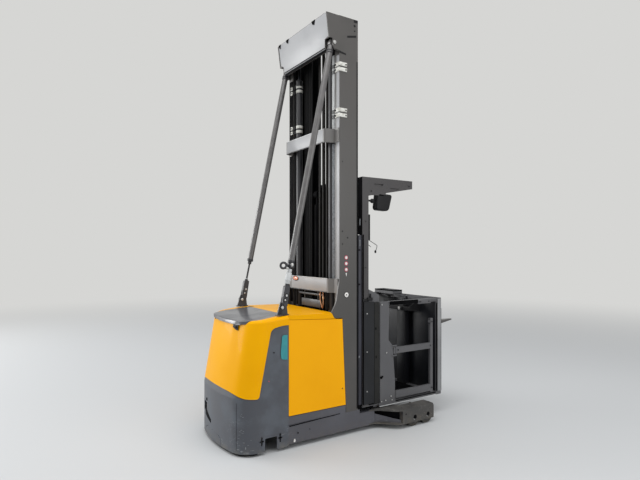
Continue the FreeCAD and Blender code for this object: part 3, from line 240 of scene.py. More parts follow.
MAST_PAINT = finish("mast paint", (62, 60, 58), 0.45, (74, 71, 69), 3.0, 0.6, scuff=((112, 110, 106), 4.0, 0.15),
                    coat=(0.3, 0.32))
CROSS_PAINT = finish("crossmember paint", (103, 101, 99), 0.42, (114, 112, 109), 3.0, 0.5, scuff=((132, 130, 126),
                     4.0, 0.2), coat=(0.3, 0.3))
# Light grey copy of the mast paint: a painted highlight for the light that the rear-facing mast faces catch.
REAR_FACE_HIGHLIGHT = finish("rear face painted highlight", (156, 157, 159), 0.45, (142, 143, 145), 2.5, 0.6, scuff=((120, 119, 117), 4.0,
                   0.25), coat=(0.3, 0.3))
STAY_PAINT = finish("stay paint", (84, 82, 82), 0.36, (100, 98, 97), 14.0, 0.6, scuff=((150, 148, 144), 4.0, 0.3),
                    coat=(0.5, 0.18))
GUARD_PAINT = finish("guard paint", (60, 58, 59), 0.5, (72, 69, 69), 6.0, 0.5, coat=(0.2, 0.35), specular=0.35)
FRAME_PAINT = finish("frame paint", (74, 74, 80), 0.5, (86, 87, 94), 4.0, 0.5, scuff=((138, 142, 146), 0.42, 0.35),
                     grime=((92, 86, 78), 0.12, 0.5), coat=(0.12, 0.35))
SKIRT_PAINT = finish("skirt paint", (66, 69, 76), 0.47, (86, 92, 100), 6.0, 0.7, scuff=((146, 152, 156), 0.5, 0.6),
                     grime=((112, 108, 98), 0.1, 0.75), coat=(0.15, 0.35))
CAB_PAINT = finish("cab paint", (78, 78, 81), 0.47, (90, 90, 91), 3.5, 0.5, scuff=((126, 126, 124), 1.0, 0.22),
                   grime=((96, 90, 80), 0.26, 0.35), coat=(0.2, 0.34))
POST_FACE = finish("front post paint", (131, 132, 133), 0.5, (115, 116, 118), 6.0, 0.6, coat=(0.15, 0.3))
ARM_PAINT = finish("wheel arm paint", (58, 57, 56), 0.6, (84, 82, 79), 9.0, 0.7, scuff=((150, 147, 140), 0.4, 0.7),
                   grime=((92, 84, 74), 0.2, 0.5))
# The hood's yellow is set a little darker than the doors' to offset the stronger light on its rear face: painted
# shade.
HOOD_YELLOW = finish("hood yellow", (238, 170, 0), 0.34, (230, 159, 0), 1.8, 0.5, coat=(0.07, 0.08), relief=(420.0,
                     0.02), specular=0.05)
DOOR_YELLOW = finish("door yellow", (245, 172, 0), 0.5, (237, 162, 0), 1.6, 0.6, coat=(0.03, 0.3), relief=(300.0,
                     0.05), specular=0.12)
LID_GREY = finish("lid grey", (78, 79, 84), 0.28, (68, 69, 74), 6.0, 0.5, coat=(0.4, 0.12), relief=(700.0, 0.08))
BLACK_PLASTIC = finish("black plastic", (16, 16, 18), 0.5, (27, 27, 29), 9.0, 0.3, relief=(900.0, 0.2), specular=0.25)
DARK_MACHINE = finish("dark machine paint", (34, 34, 38), 0.42, (48, 48, 52), 8.0, 0.6, coat=(0.25, 0.25))
# Near-black paint of dark parts, also used for dark pieces that are painted shade.
BLACK_PAINT_AND_SHADE = finish("near-black paint and painted shade", (6, 6, 8), 0.65, (3, 3, 4), 6.0, 0.7, specular=0.05)
# Dark panel finish, also used for the panels that paint shade on the cab's inner walls.
DARK_PANEL_AND_SHADE = finish("dark panel and painted inner shade", (20, 22, 27), 0.42, (14, 16, 20), 3.0, 0.8, coat=(0.12, 0.3), relief=(500.0,
                    0.08), specular=0.3)
SLATE_PANEL = finish("slate panel", (46, 47, 55), 0.45, (58, 59, 68), 5.0, 0.7, coat=(0.1, 0.3), specular=0.3)
DUSTY_STRIP = finish("dusty strip", (31, 31, 30), 0.6, (44, 44, 42), 12.0, 0.7, specular=0.25)
WORN_GREY = finish("worn grey", (128, 131, 134), 0.5, (96, 99, 103), 60.0, 0.9)
PALE_PLATE = finish("pale zinc plate", (190, 190, 188), 0.38, (150, 150, 148), 12.0, 0.5, relief=(200.0, 0.06),
                    metallic=0.6)
# Pale grey paint of pipes and sleeves, also used for painted highlights on edges.
PALE_PAINT_AND_HIGHLIGHT = finish("pale grey paint and painted highlight", (200, 202, 202), 0.45, (176, 178, 178), 9.0, 0.5)
WHITE_CLAMP = finish("white clamp plastic", (214, 214, 208), 0.5, (170, 168, 160), 30.0, 0.8)
CHROME = finish("chrome rod", (66, 67, 72), 0.3, (44, 45, 50), 20.0, 0.3, relief=(60.0, 0.02), metallic=1.0)
CHAIN_STEEL = finish("oiled chain steel", (20, 19, 18), 0.6, (40, 38, 34), 60.0, 0.7, relief=(180.0, 0.5),
                     specular=0.15)
HOSE_RUBBER = finish("hose rubber", (12, 12, 13), 0.6, (22, 22, 24), 15.0, 0.3, relief=(800.0, 0.15), specular=0.15)
CAST_IRON = finish("gearbox casting", (44, 44, 48), 0.6, (66, 58, 50), 9.0, 0.6, relief=(160.0, 0.4))
TREAD = finish("drive tread", (30, 30, 32), 0.7, (62, 58, 54), 18.0, 0.6, relief=(220.0, 0.3))
ROLLER_TREAD = finish("roller tread", (48, 46, 42), 0.65, (70, 66, 58), 22.0, 0.8, relief=(200.0, 0.25))
PALE_ROLLER = finish("pale roller", (176, 174, 166), 0.5, (120, 118, 110), 30.0, 0.7, relief=(200.0, 0.2))
BATTERY_CASE = finish("battery case", (50, 54, 64), 0.5, (36, 38, 44), 5.0, 0.5)
AMBER = finish("amber reflector", (206, 96, 40), 0.15, (240, 196, 150), 40.0, 0.7, coat=(1.0, 0.05))
COPPER = finish("copper pipe", (176, 116, 78), 0.4, (226, 196, 160), 30.0, 0.7, metallic=0.5)
TEAL_FILM = finish("teal film", (40, 134, 140), 0.4, (58, 150, 154), 25.0, 0.5)
WHITE_FILM = finish("white film", (226, 224, 220), 0.4, (200, 196, 190), 40.0, 0.3)
ROSE_FILM = finish("rose film", (176, 70, 88), 0.4, (150, 56, 74), 40.0, 0.3)

NODE_FINISHES = {
    MAST_PAINT: ["mast_uprights", "mast_crosshead", "forks"],
    CROSS_PAINT: ["mast_crossmembers"],
    STAY_PAINT: ["stay_tubes"],
    GUARD_PAINT: ["overhead_guard"],
    FRAME_PAINT: ["chassis_frame"],
    SKIRT_PAINT: ["rear_skirt"],
    CAB_PAINT: ["cab_floor", "cab_back_wall", "entry_frames", "front_wall", "side_gate_right", "side_gate_left",
                "fork_mast", "fork_carriage", "top_tray"],
    ARM_PAINT: ["load_wheel_arms"],
    HOOD_YELLOW: ["drive_hood", "battery_cover"],
    DOOR_YELLOW: ["battery_door_right", "battery_door_left"],
    LID_GREY: ["hood_lid"],
    BLACK_PLASTIC: ["control_console", "mirror"],
    DARK_MACHINE: ["lift_barrels", "stay_ends", "stay_brackets"],
    BLACK_PAINT_AND_SHADE: ["middle_mast", "inner_mast", "free_lift_cylinder", "lift_carriage"],
    PALE_PLATE: ["load_axles"],
    CHROME: ["lift_rods"],
    CHAIN_STEEL: ["mast_chains"],
    HOSE_RUBBER: ["mast_hoses", "mast_pipes"],
    CAST_IRON: ["steered_gearbox", "drive_motor", "drive_hub"],
    TREAD: ["drive_tyre"],
    ROLLER_TREAD: ["load_wheel_right_rear", "load_wheel_right_front", "load_wheel_left_rear",
                   "load_wheel_left_front"],
    PALE_ROLLER: ["support_roller_right", "support_roller_left"],
    BATTERY_CASE: ["battery_block"],
}
for surface, names in NODE_FINISHES.items():
    for name in names:
        for material_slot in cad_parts[name].material_slots:
            material_slot.material = surface


# Shapes, each added to a bmesh
SINK = 0.001


def soften(bm, geometry, size, segments=2, affect="EDGES", clamp=True):
    """Rounds edges or corners."""
    bmesh.ops.bevel(bm, geom=geometry, offset=size, offset_type="OFFSET", segments=segments, profile=0.5,
                    affect=affect, clamp_overlap=clamp, material=-1)


def verts_of(made):
    """Corners among what an operator made."""
    return [g for g in made["geom"] if isinstance(g, bmesh.types.BMVert)]


def edges_of(verts):
    """Edges that meet the corners."""
    return list({e for v in verts for e in v.link_edges})


def push(bm, face, depth):
    """Pushes a flat face out by a vector. Returns the moved corners."""
    moved = verts_of(bmesh.ops.extrude_face_region(bm, geom=[face]))
    bmesh.ops.translate(bm, vec=Vector(depth), verts=moved)
    return moved


def turned(axis):
    """Matrix that turns +Z to an axis."""
    return Vector(axis).to_track_quat("Z", "Y").to_matrix().to_4x4()


def block(bm, low, high, edge=0.0):
    """Block between two corners with rounded edges."""
    low, high = Vector(low), Vector(high)
    place = Matrix.Translation((low + high) / 2) @ Matrix.Diagonal((*(high - low), 1.0))
    made = bmesh.ops.create_cube(bm, size=1.0, matrix=place)
    if edge > 0.0:
        soften(bm, edges_of(made["verts"]), edge)


def rod(bm, start, end, radius, segments=24, edge=0.0, tip=None):
    """Round bar, or cone with a tip radius, between two points, with rounded rims."""
    start, end = Vector(start), Vector(end)
    place = Matrix.Translation((start + end) / 2) @ turned(end - start)
    made = bmesh.ops.create_cone(bm, cap_ends=True, cap_tris=False, segments=segments, radius1=radius,
                                 radius2=radius if tip is None else tip, depth=(end - start).length, matrix=place)
    if edge > 0.0:
        soften(bm, [e for e in edges_of(made["verts"]) if len(e.link_faces) == 2
                    and any(len(f.verts) > 4 for f in e.link_faces)], edge)


def pipe(bm, places, radius, segments):
    """Bars from place to place."""
    for start, end in zip(places, places[1:]):
        rod(bm, start, end, radius, segments)


def ring(bm, centre, axis, radius, thick, segments, around):
    """Round ring about an axis."""
    made = bmesh.ops.create_circle(bm, segments=around, radius=thick,
                                   matrix=Matrix.Translation((radius, 0, 0)) @ Matrix.Rotation(pi / 2, 4, "X"))
    edges = edges_of(made["verts"])
    bmesh.ops.spin(bm, geom=made["verts"] + edges, cent=(0, 0, 0), axis=(0, 0, 1), angle=2 * pi, steps=segments,
                   use_merge=True, use_normal_flip=False)
    reached = {v for e in edges if e.is_valid for v in e.verts}
    waiting = list(reached)
    while waiting:
        vert = waiting.pop()
        for edge in vert.link_edges:
            other = edge.other_vert(vert)
            if other not in reached:
                reached.add(other)
                waiting.append(other)
    bmesh.ops.transform(bm, matrix=Matrix.Translation(centre) @ turned(axis), verts=list(reached))


def ball(bm, centre, size, around=24, rows=14, turn=0.0):
    """Ball with a radius for each axis, turned about +Z."""
    place = Matrix.Translation(centre) @ Matrix.Rotation(turn, 4, "Z") @ Matrix.Diagonal((*size, 1.0))
    bmesh.ops.create_uvsphere(bm, u_segments=around, v_segments=rows, radius=1.0, matrix=place)


def plate(bm, points, depth, edge=0.0):
    """Plate from a flat outline of points, pushed by the vector depth, with rounded edges."""
    verts = [bm.verts.new(p) for p in points]
    moved = push(bm, bm.faces.new(verts), depth)
    if edge > 0.0:
        soften(bm, edges_of(verts + moved), edge)


def bolt(bm, place, axis, radius, height):
    """Hexagon head with a washer, its foot at place, pointing along axis."""
    place, axis = Vector(place), Vector(axis).normalized()
    rod(bm, place - axis * SINK, place + axis * 0.0015, radius * 1.35, 20)
    rod(bm, place, place + axis * height, radius, 6, radius * 0.08)


def disc(bm, place, axis, radius, height, segments=24, edge=0.0):
    """Thin round plate on a surface, its foot sunk a little."""
    place, axis = Vector(place), Vector(axis).normalized()
    rod(bm, place - axis * SINK, place + axis * height, radius, segments, edge)


RIGHT = (0, -1, 0)
FACE = 0.0006
HOLE = 0.0012


def side_disc(bm, y, x, z, radius, height, segments=24, edge=0.0):
    """Disc on a right-side face."""
    disc(bm, (x, y, z), RIGHT, radius, height, segments, edge)


def side_plate(bm, y, depth, outline):
    """Plate with an outline in X and Z, through a right-side face."""
    plate(bm, [(x, y + SINK, z) for x, z in outline], (0, -depth, 0))


def side_panel(bm, x0, x1, z0, z1, depth, y=SIDE_Y, edge=0.0):
    """Upright rectangular plate lying on a right-side face."""
    plate(bm, [(x, y + FACE, z) for x, z in ((x0, z0), (x1, z0), (x1, z1), (x0, z1))], (0, -depth - FACE, 0), edge)


def round_corners(bm, points, radii, segments=5):
    """Flat face through points, with a corner radius for each."""
    verts = [bm.verts.new(p) for p in points]
    bm.faces.new(verts)
    for vert, size in zip(verts, radii):
        if size > 0.0:
            soften(bm, [vert], size, segments, "VERTICES", False)
    return [f for f in bm.faces if f.is_valid][-1]


def round_plate(bm, points, radii, segments, depth):
    """Plate with round corners, pushed by the vector depth."""
    return push(bm, round_corners(bm, points, radii, segments), depth)


def cut_above(bm, point, normal):
    """Cuts away what lies on the normal's side of a plane and closes the cut."""
    geometry = bm.verts[:] + bm.edges[:] + bm.faces[:]
    cut = bmesh.ops.bisect_plane(bm, geom=geometry, dist=1e-6, plane_co=point, plane_no=normal, clear_outer=True)
    rim = [g for g in cut["geom_cut"] if isinstance(g, bmesh.types.BMEdge)]
    return bmesh.ops.contextual_create(bm, geom=rim)["faces"]


def mirror_across(bm):
    """Adds the same shapes on the truck's left side."""
    copied = bmesh.ops.duplicate(bm, geom=bm.verts[:] + bm.edges[:] + bm.faces[:])
    bmesh.ops.scale(bm, vec=(1, -1, 1), verts=verts_of(copied))
    bmesh.ops.reverse_faces(bm, faces=[g for g in copied["geom"] if isinstance(g, bmesh.types.BMFace)])


def as_object(name, bm):
    """Object from a mesh, which is used up."""
    bmesh.ops.recalc_face_normals(bm, faces=bm.faces[:])
    mesh = bpy.data.meshes.new(name)
    bm.to_mesh(mesh)
    bm.free()
    return add_object(name, mesh)


def make(name, bm, surface, body, smooth_under=35.0):
    """Piece from a finished mesh, shaded smooth below an angle, riding on a body."""
    bmesh.ops.recalc_face_normals(bm, faces=bm.faces[:])
    for face in bm.faces:
        face.smooth = True
    for edge in bm.edges:
        if len(edge.link_faces) == 2 and edge.calc_face_angle() > radians(smooth_under):
            edge.smooth = False
    made = as_object(name, bm)
    made.data.materials.append(surface)
    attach(made, body)
    return made


def piece(name, surface, slot, *shapes, body="chassis", both=False):
    """Piece from shapes, each a function and its values. both adds the left side's copy."""
    bm = bmesh.new()
    for shape, *values in shapes:
        shape(bm, *values)
    if both:
        mirror_across(bm)
    return make(name, bm, surface, body)


def boolean(target, tool, operation):
    """Cuts, joins or keeps the overlap with another shape, which is used up."""
    modifier = target.modifiers.new("cut", "BOOLEAN")
    modifier.operation = operation
    modifier.solver = "EXACT"
    modifier.object = tool
    graph = bpy.context.evaluated_depsgraph_get()
    cut_mesh = bpy.data.meshes.new_from_object(target.evaluated_get(graph))
    target.modifiers.clear()
    target.data = cut_mesh
    bpy.data.objects.remove(tool)


def into_bmesh(obj):
    """Mesh of a finished cut, for more shaping. The object is used up."""
    bm = bmesh.new()
    bm.from_mesh(obj.data)
    bpy.data.objects.remove(obj)
    bmesh.ops.remove_doubles(bm, verts=bm.verts[:], dist=1e-6)
    bmesh.ops.dissolve_limit(bm, angle_limit=radians(0.5), verts=bm.verts[:], edges=bm.edges[:])
    return bm


# Rear body: a plan with round corners and a bowed rear that leans forward above the hood's foot
HOOD_FOOT_Z = 0.458
LEAN = 0.112 / 0.642
REAR_X = skirt_low.x
REAR_RADIUS = 1.4672
CORNER_RADIUS = 0.175
CORNER_SPREAD = 1.372
BODY_FRONT_X = -0.842
BODY_TOP_Z = 1.22
DECK_Z = 1.1
LID_REAR_X = -1.209
LID_FRONT_X = -0.83
LID_WIDEST_X = -1.06
TOP_REAR_Z = 1.06
TOP_SLOPE = (DECK_Z - TOP_REAR_Z) / (LID_FRONT_X - LID_REAR_X)
TOP_NORMAL = Vector((-TOP_SLOPE, 0.0, 1.0)).normalized()
SMOOTH_BODY = 28.0


def body_block(inset, foot_z, lower, edge, front_x=BODY_FRONT_X):
    """Rear body's form, moved inwards, from a height up to its sloping top, with a rounded top rim."""
    half = SIDE_Y + inset
    reach = REAR_RADIUS - inset
    shift = (foot_z - HOOD_FOOT_Z) * LEAN

    def rear(y):
        """Point on the bowed rear."""
        return (REAR_X + REAR_RADIUS - (reach * reach - y * y) ** 0.5 + shift, y, foot_z)

    bm = bmesh.new()
    bow = [rear(step / 20) for step in range(-6, 7)]
    points = [(front_x, half, foot_z), rear(half), *bow, rear(-half), (front_x, -half, foot_z)]
    corner = (CORNER_RADIUS - inset) / CORNER_SPREAD
    face = round_corners(bm, points, [0.0, corner] + [0.0] * len(bow) + [corner, 0.0], 14)
    rise = BODY_TOP_Z - foot_z
    for vert in push(bm, face, (0, 0, 0)):
        vert.co.z += rise
        if vert.co.x < front_x - 0.001:
            vert.co.x = min(front_x - 0.0005, vert.co.x + rise * LEAN)
    lids = cut_above(bm, (LID_FRONT_X, 0, DECK_Z - lower), TOP_NORMAL)
    if edge > 0.0:
        soften(bm, [e for f in lids for e in f.edges if not all(abs(v.co.x - front_x) < 0.002 for v in e.verts)],
               edge, 6, clamp=False)
    return bm


def lid_block(grow, lower, thick):
    """Lid's outline as a block between two depths under the hood's sloping top."""
    bm = bmesh.new()
    points = [(LID_REAR_X - grow, -0.332 - grow, 0.9), (LID_REAR_X - grow, 0.332 + grow, 0.9),
              (LID_WIDEST_X, 0.392 + grow, 0.9), (LID_FRONT_X + grow, 0.338 + grow, 0.9),
              (LID_FRONT_X + grow, -0.338 - grow, 0.9), (LID_WIDEST_X, -0.392 - grow, 0.9)]
    round_plate(bm, points, [0.06, 0.06, 0.035, 0.05, 0.05, 0.035], 8, (0, 0, 0.4))
    cut_above(bm, (LID_FRONT_X, 0, DECK_Z - lower - thick), -TOP_NORMAL)
    cut_above(bm, (LID_FRONT_X, 0, DECK_Z - lower), TOP_NORMAL)
    return bm


HOOD_ROUND = 0.026
HOOD_WALL = 0.006
hood = as_object("hood_shape", body_block(0.0, 0.43, 0.0, HOOD_ROUND))
HOOD_SIDE = [(-1.5, 0.513), (-1.308, 0.513), (-1.242, 0.467), (-1.16, 0.458), (-1.113, 0.458), (-1.003, 1.001),
             (-0.905, 1.023), (0.0, 1.023), (0.0, 1.5), (-1.5, 1.5)]
keep = bmesh.new()
round_plate(keep, [(x, -0.8, z) for x, z in HOOD_SIDE],
            [0, 0.03, 0.03, 0.03, 0.022, 0.034, 0.03, 0, 0, 0], 8, (0, 1.6, 0))
boolean(hood, as_object("hood_edge", keep), "INTERSECT")
hollow = body_block(HOOD_WALL, 0.4, 0.0303, 0.0, BODY_FRONT_X + 0.05)
boolean(hood, as_object("hood_inside", hollow), "DIFFERENCE")
boolean(hood, as_object("lid_pocket", lid_block(0.003, -0.05, 0.0743)), "DIFFERENCE")
LATCH_Y = -0.215
latch = bmesh.new()
plate(latch, [(-1.34, LATCH_Y + y, z) for y, z in ((-0.046, 1.06), (0.046, 1.06), (0.026, 0.992),
                                                   (-0.02, 0.992))], (0.16, 0, 0), 0.008)
boolean(hood, as_object("latch_cut", latch), "DIFFERENCE")
hood_piece = make("hood_shell", into_bmesh(hood), HOOD_YELLOW, "chassis", SMOOTH_BODY)
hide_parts("drive_hood")

# Latch cup behind the notch under the lid
piece("latch_cup", BLACK_PLASTIC, "black_plastic",
      (block, (-1.212, LATCH_Y - 0.05, 0.985), (-1.206, LATCH_Y + 0.05, 1.03), 0.001),
      (block, (-1.222, LATCH_Y - 0.03, 1.0), (-1.208, LATCH_Y + 0.03, 1.018), 0.004))

# Grey lid: a shallow crown with a rolled rear lip
LIP_HALF_Y = 0.288
lid = as_object("lid_shape", lid_block(0.0, 0.0, 0.024))
lip = body_block(-0.01, 0.9, -0.0015, 0.012)
cut_above(lip, (LID_FRONT_X, 0, DECK_Z - 0.03), -TOP_NORMAL)
cut_above(lip, (-1.1, 0, 1.0), Vector((1, 0, 0)))
cut_above(lip, (-1.2, -LIP_HALF_Y, 1.0), Vector((0, -1, 0)))
cut_above(lip, (-1.2, LIP_HALF_Y, 1.0), Vector((0, 1, 0)))
lip = as_object("lid_lip", lip)
boolean(lip, as_object("lip_hollow", body_block(-0.003, 0.88, 0.024, 0.0, BODY_FRONT_X + 0.1)), "DIFFERENCE")
boolean(lid, lip, "UNION")
lid_piece = make("hood_lid_cover", into_bmesh(lid), LID_GREY, "lid", SMOOTH_BODY)
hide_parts("hood_lid")
soft = lid_piece.modifiers.new("soft edge", "BEVEL")
soft.width = 0.005
soft.segments = 3
soft.limit_method = "ANGLE"
soft.angle_limit = radians(40)
soft.use_clamp_overlap = True


def rear_place(y, z, out=0.0):
    """Point on the skirt's bowed rear."""
    return Vector((REAR_X + REAR_RADIUS - ((REAR_RADIUS + out) ** 2 - y * y) ** 0.5, y, z))


# Painted shadow: a dark line in the gap under the lid's rear lip, and a darker recess at its left end
GAP_Z = 1.0275
GAP_LEAN = Vector(((1.027 - HOOD_FOOT_Z) * LEAN + 0.0022, 0, 0))
gap = [rear_place(step / 50, GAP_Z) + GAP_LEAN for step in range(-14, 15)]
piece("lid_gap_shadow", BLACK_PAINT_AND_SHADE, "black_plastic", (pipe, gap, 0.004, 10),
      (rod, gap[-1] + Vector((0.004, 0.004, -0.004)), gap[-3] + Vector((0.004, 0.0, -0.014)), 0.0095, 16, 0.0, 0.006))

# White double clamps round the uprights' rear corners and the lift cylinders
CLAMP_HEIGHTS = (2.812, 2.858, 3.215, 3.262)
CLAMP_BAND = 0.033
CLAMP_EDGE = 0.0015
CLAMP_OUT_Y = MAST_SIDE_Y - 0.006
CLAMP_FRONT_X = -0.254
CLAMP_X = MAST_REAR_X - 0.011
CLAMP_OUTLINES = (
    ((CLAMP_FRONT_X, MAST_SIDE_Y), (CLAMP_FRONT_X, CLAMP_OUT_Y), (MAST_REAR_X - 0.001, CLAMP_OUT_Y),
     (MAST_REAR_X - 0.009, MAST_SIDE_Y + 0.002), (CLAMP_X, -0.392), (MAST_REAR_X, -0.392), (MAST_REAR_X, MAST_SIDE_Y)),
    ((CLAMP_X, 0.408), (CLAMP_X, 0.376), (MAST_REAR_X, 0.376), (MAST_REAR_X, 0.408)))
piece("mast_clamps", WHITE_CLAMP, "bright_steel",
      *((plate, [(x, y, z) for x, y in outline], (0, 0, CLAMP_BAND), CLAMP_EDGE)
        for z in CLAMP_HEIGHTS for outline in CLAMP_OUTLINES))
piece("clamp_bolts", BLACK_PLASTIC, "black_plastic",
      *((bolt, (x, y, z + CLAMP_BAND / 2), axis, radius, height) for z in CLAMP_HEIGHTS
        for x, y, axis, radius, height in ((CLAMP_X, -0.4, (-1, 0, 0), 0.007, 0.006),
                                           (CLAMP_X, 0.392, (-1, 0, 0), 0.005, 0.005),
                                           (CLAMP_FRONT_X - 0.012, CLAMP_OUT_Y, RIGHT, 0.005, 0.003))))

BARREL_R = (barrel_high.x - barrel_low.x) / 2
CYLINDER_X = barrel_low.x + BARREL_R
CYLINDER_Y = barrel_low.y + BARREL_R


def collar(bm, y, z, high, out, edge):
    """Band round a lift cylinder."""
    rod(bm, (CYLINDER_X, y, z), (CYLINDER_X, y, z + high), BARREL_R + out, 32, edge)


piece("cylinder_bands", WHITE_CLAMP, "bright_steel",
      *((collar, -CYLINDER_Y, z, CLAMP_BAND * 0.85, 0.004, CLAMP_EDGE) for z in CLAMP_HEIGHTS))
piece("cylinder_glands", DARK_MACHINE, "dark_paint",
      (collar, CYLINDER_Y, barrel_high.z - 0.06, 0.018, 0.006, 0.002),
      (collar, CYLINDER_Y, barrel_high.z - 0.02, 0.018, 0.003, 0.002), both=True)

# Bright pipe runs beside the uprights, and sleeves on the hoses before the near one
PIPE_X = MAST_REAR_X + 0.008


def upright_rod(bm, x, y, foot, top, radius, segments=24, edge=0.0):
    """Upright round bar."""
    rod(bm, (x, y, foot), (x, y, top), radius, segments, edge)


piece("pale_pipe_runs", PALE_PAINT_AND_HIGHLIGHT, "bright_steel",
      *(part for y in (-0.28, 0.28) for part in ((upright_rod, PIPE_X, y, 1.32, 2.08, 0.0064, 16),
                                                   (upright_rod, PIPE_X, y, 2.06, 2.11, 0.01, 6, 0.001))))
for name, foot, top, surface in (("grey_pipe_sleeves", 1.27, 2.59, WORN_GREY),
                                 ("pale_pipe_sleeves", 2.72, 3.38, PALE_PAINT_AND_HIGHLIGHT)):
    piece(name, surface, "bright_steel",
          *((upright_rod, PIPE_X, y, foot, top, 0.0082, 18, 0.001) for y in (-0.358, -0.338)))

# Painted highlight strip on the right upright's rear flange, and a painted shade strip on the left one
for name, start, end, surface in (("flange_painted_highlight", -0.446, -0.402, REAR_FACE_HIGHLIGHT),
                                  ("flange_painted_shade", 0.3765, 0.4485, BLACK_PAINT_AND_SHADE)):
    piece(name, surface, "dark_paint",
          (block, (MAST_REAR_X - 0.0006, start, 1.115), (MAST_REAR_X + 0.002, end, 3.36), 0.0004))

# Crosshead: black clips on its top edge, dark fold with a pale lip below, painted highlights and shade on its corners
# and rear face
HEAD_LEAN = 0.038 / 0.294
HEAD_TOP_Z = 3.701
FOLD_X = MAST_REAR_X - 0.099
FOLD_Z = 3.407
FOLD_HALF_Y = 0.368


def head_plate(bm, outline, out, depth, edge=0.0):
    """Plate with an outline in Y and Z on the crosshead's leaning rear face."""
    plate(bm, [(head_low.x - out + (HEAD_TOP_Z - z) * HEAD_LEAN, y, z) for y, z in outline], (depth, 0, 0), edge)


def fold_strip(bm, back, front, foot, top):
    """Strip along the crosshead's lower fold."""
    block(bm, (FOLD_X + back, -FOLD_HALF_Y, FOLD_Z + foot), (FOLD_X + front, FOLD_HALF_Y, FOLD_Z + top), 0.001)


piece("crosshead_clips", BLACK_PAINT_AND_SHADE, "black_plastic",
      *((plate, [(head_low.x + x, y + way * wide, head_high.z + z)
                 for x, way, z in ((-0.005, -1, 0.0015), (-0.005, 1, 0.0015), (-0.002, 0.7, -0.024),
                                   (-0.001, -0.3, -0.04))], (0.016, 0, 0), 0.002)
        for y, wide in ((-0.235, 0.03), (0.246, 0.026), (0.402, 0.02))))
piece("crosshead_fold", BLACK_PAINT_AND_SHADE, "dark_paint", (fold_strip, -0.003, 0.004, 0.008, 0.015),
      (fold_strip, 0.001, 0.006, -0.021, -0.002))
piece("crosshead_lip", WORN_GREY, "dark_paint", (fold_strip, -0.002, 0.004, -0.001, 0.004))
# Painted highlights along the crosshead's near top and rear corner edges.
piece("crosshead_corner_highlights", PALE_PAINT_AND_HIGHLIGHT, "dark_paint",
      (plate, [(head_low.x - 0.0012, y, z) for y, z in ((-0.4375, 3.699), (-0.424, 3.699), (-0.424, 3.69),
                                                        (-0.4375, 3.69))], (0.004, 0, 0), 0.001),
      (head_plate, ((-0.4371, 3.69), (-0.4339, 3.69), (-0.4339, 3.494), (-0.4371, 3.494)), 0.001, 0.003))
# Painted shade along the crosshead's far rear corner.
piece("crosshead_far_corner_shade", BLACK_PAINT_AND_SHADE, "dark_paint",
      (head_plate, ((0.427, 3.69), (0.434, 3.69), (0.434, 3.5), (0.427, 3.5)), 0.001, 0.003))
# Painted highlight over the crosshead's rear face.
piece("crosshead_rear_highlight", REAR_FACE_HIGHLIGHT, "dark_paint",
      (head_plate, ((-0.432, 3.698), (0.426, 3.698), (0.426, 3.506), (0.38, 3.48), (0.366, 3.424), (-0.366, 3.424),
                    (-0.38, 3.49), (-0.432, 3.5)), 0.0006, 0.0025, 0.0005))


# Crossmembers: painted highlights on the rear faces
def bow_strip(bm, x, depth, half, foot, top, edge):
    """Strip across a crossmember's rear, x and depth measured from the uprights' rear."""
    block(bm, (MAST_REAR_X - x, -half, foot), (MAST_REAR_X - x + depth, half, top), edge)


piece("crossmember_rear_highlights", REAR_FACE_HIGHLIGHT, "dark_paint",
      (bow_strip, 0.0478, 0.0038, 0.316, 1.268, 1.378, 0.0006),
      (bow_strip, 0.0958, 0.0038, 0.328, 2.603, 2.709, 0.0006))

# Cheek and mast side: pin head, slots, small dark holes and a painted shadow under the cheek's lower edge
piece("stay_pin_heads", PALE_PLATE, "bright_steel",
      (side_disc, MAST_SIDE_Y, -0.384, 3.455, 0.016, 0.004, 28, 0.001),
      (side_disc, MAST_SIDE_Y - 0.004, -0.384, 3.455, 0.01, 0.004, 28, 0.002), both=True)
piece("mast_side_holes_and_cheek_shadow", BLACK_PLASTIC, "black_plastic",
      *((side_disc, MAST_SIDE_Y, x, z, radius, HOLE, 20) for x, z, radius in (
          (-0.154, 3.69, 0.012), (-0.166, 3.647, 0.011), (-0.166, 3.6, 0.007), (-0.3, 1.805, 0.006),
          (-0.244, 1.749, 0.007), (-0.3, 1.693, 0.006), (-0.3, 2.42, 0.005), (-0.3, 0.42, 0.006))),
      *((side_plate, MAST_SIDE_Y, 0.002, outline) for outline in (
          ((-0.248, 3.523), (-0.149, 3.546), (-0.149, 3.564), (-0.248, 3.541)),
          ((-0.176, 3.676), (-0.132, 3.676), (-0.132, 3.7), (-0.176, 3.7)),
          # Last outline: painted shadow under the cheek's lower edge.
          ((-0.378, 3.4), (-0.262, 3.38), (-0.262, 3.366), (-0.331, 3.372), (-0.331, 3.388), (-0.378, 3.394)))),
      both=True)

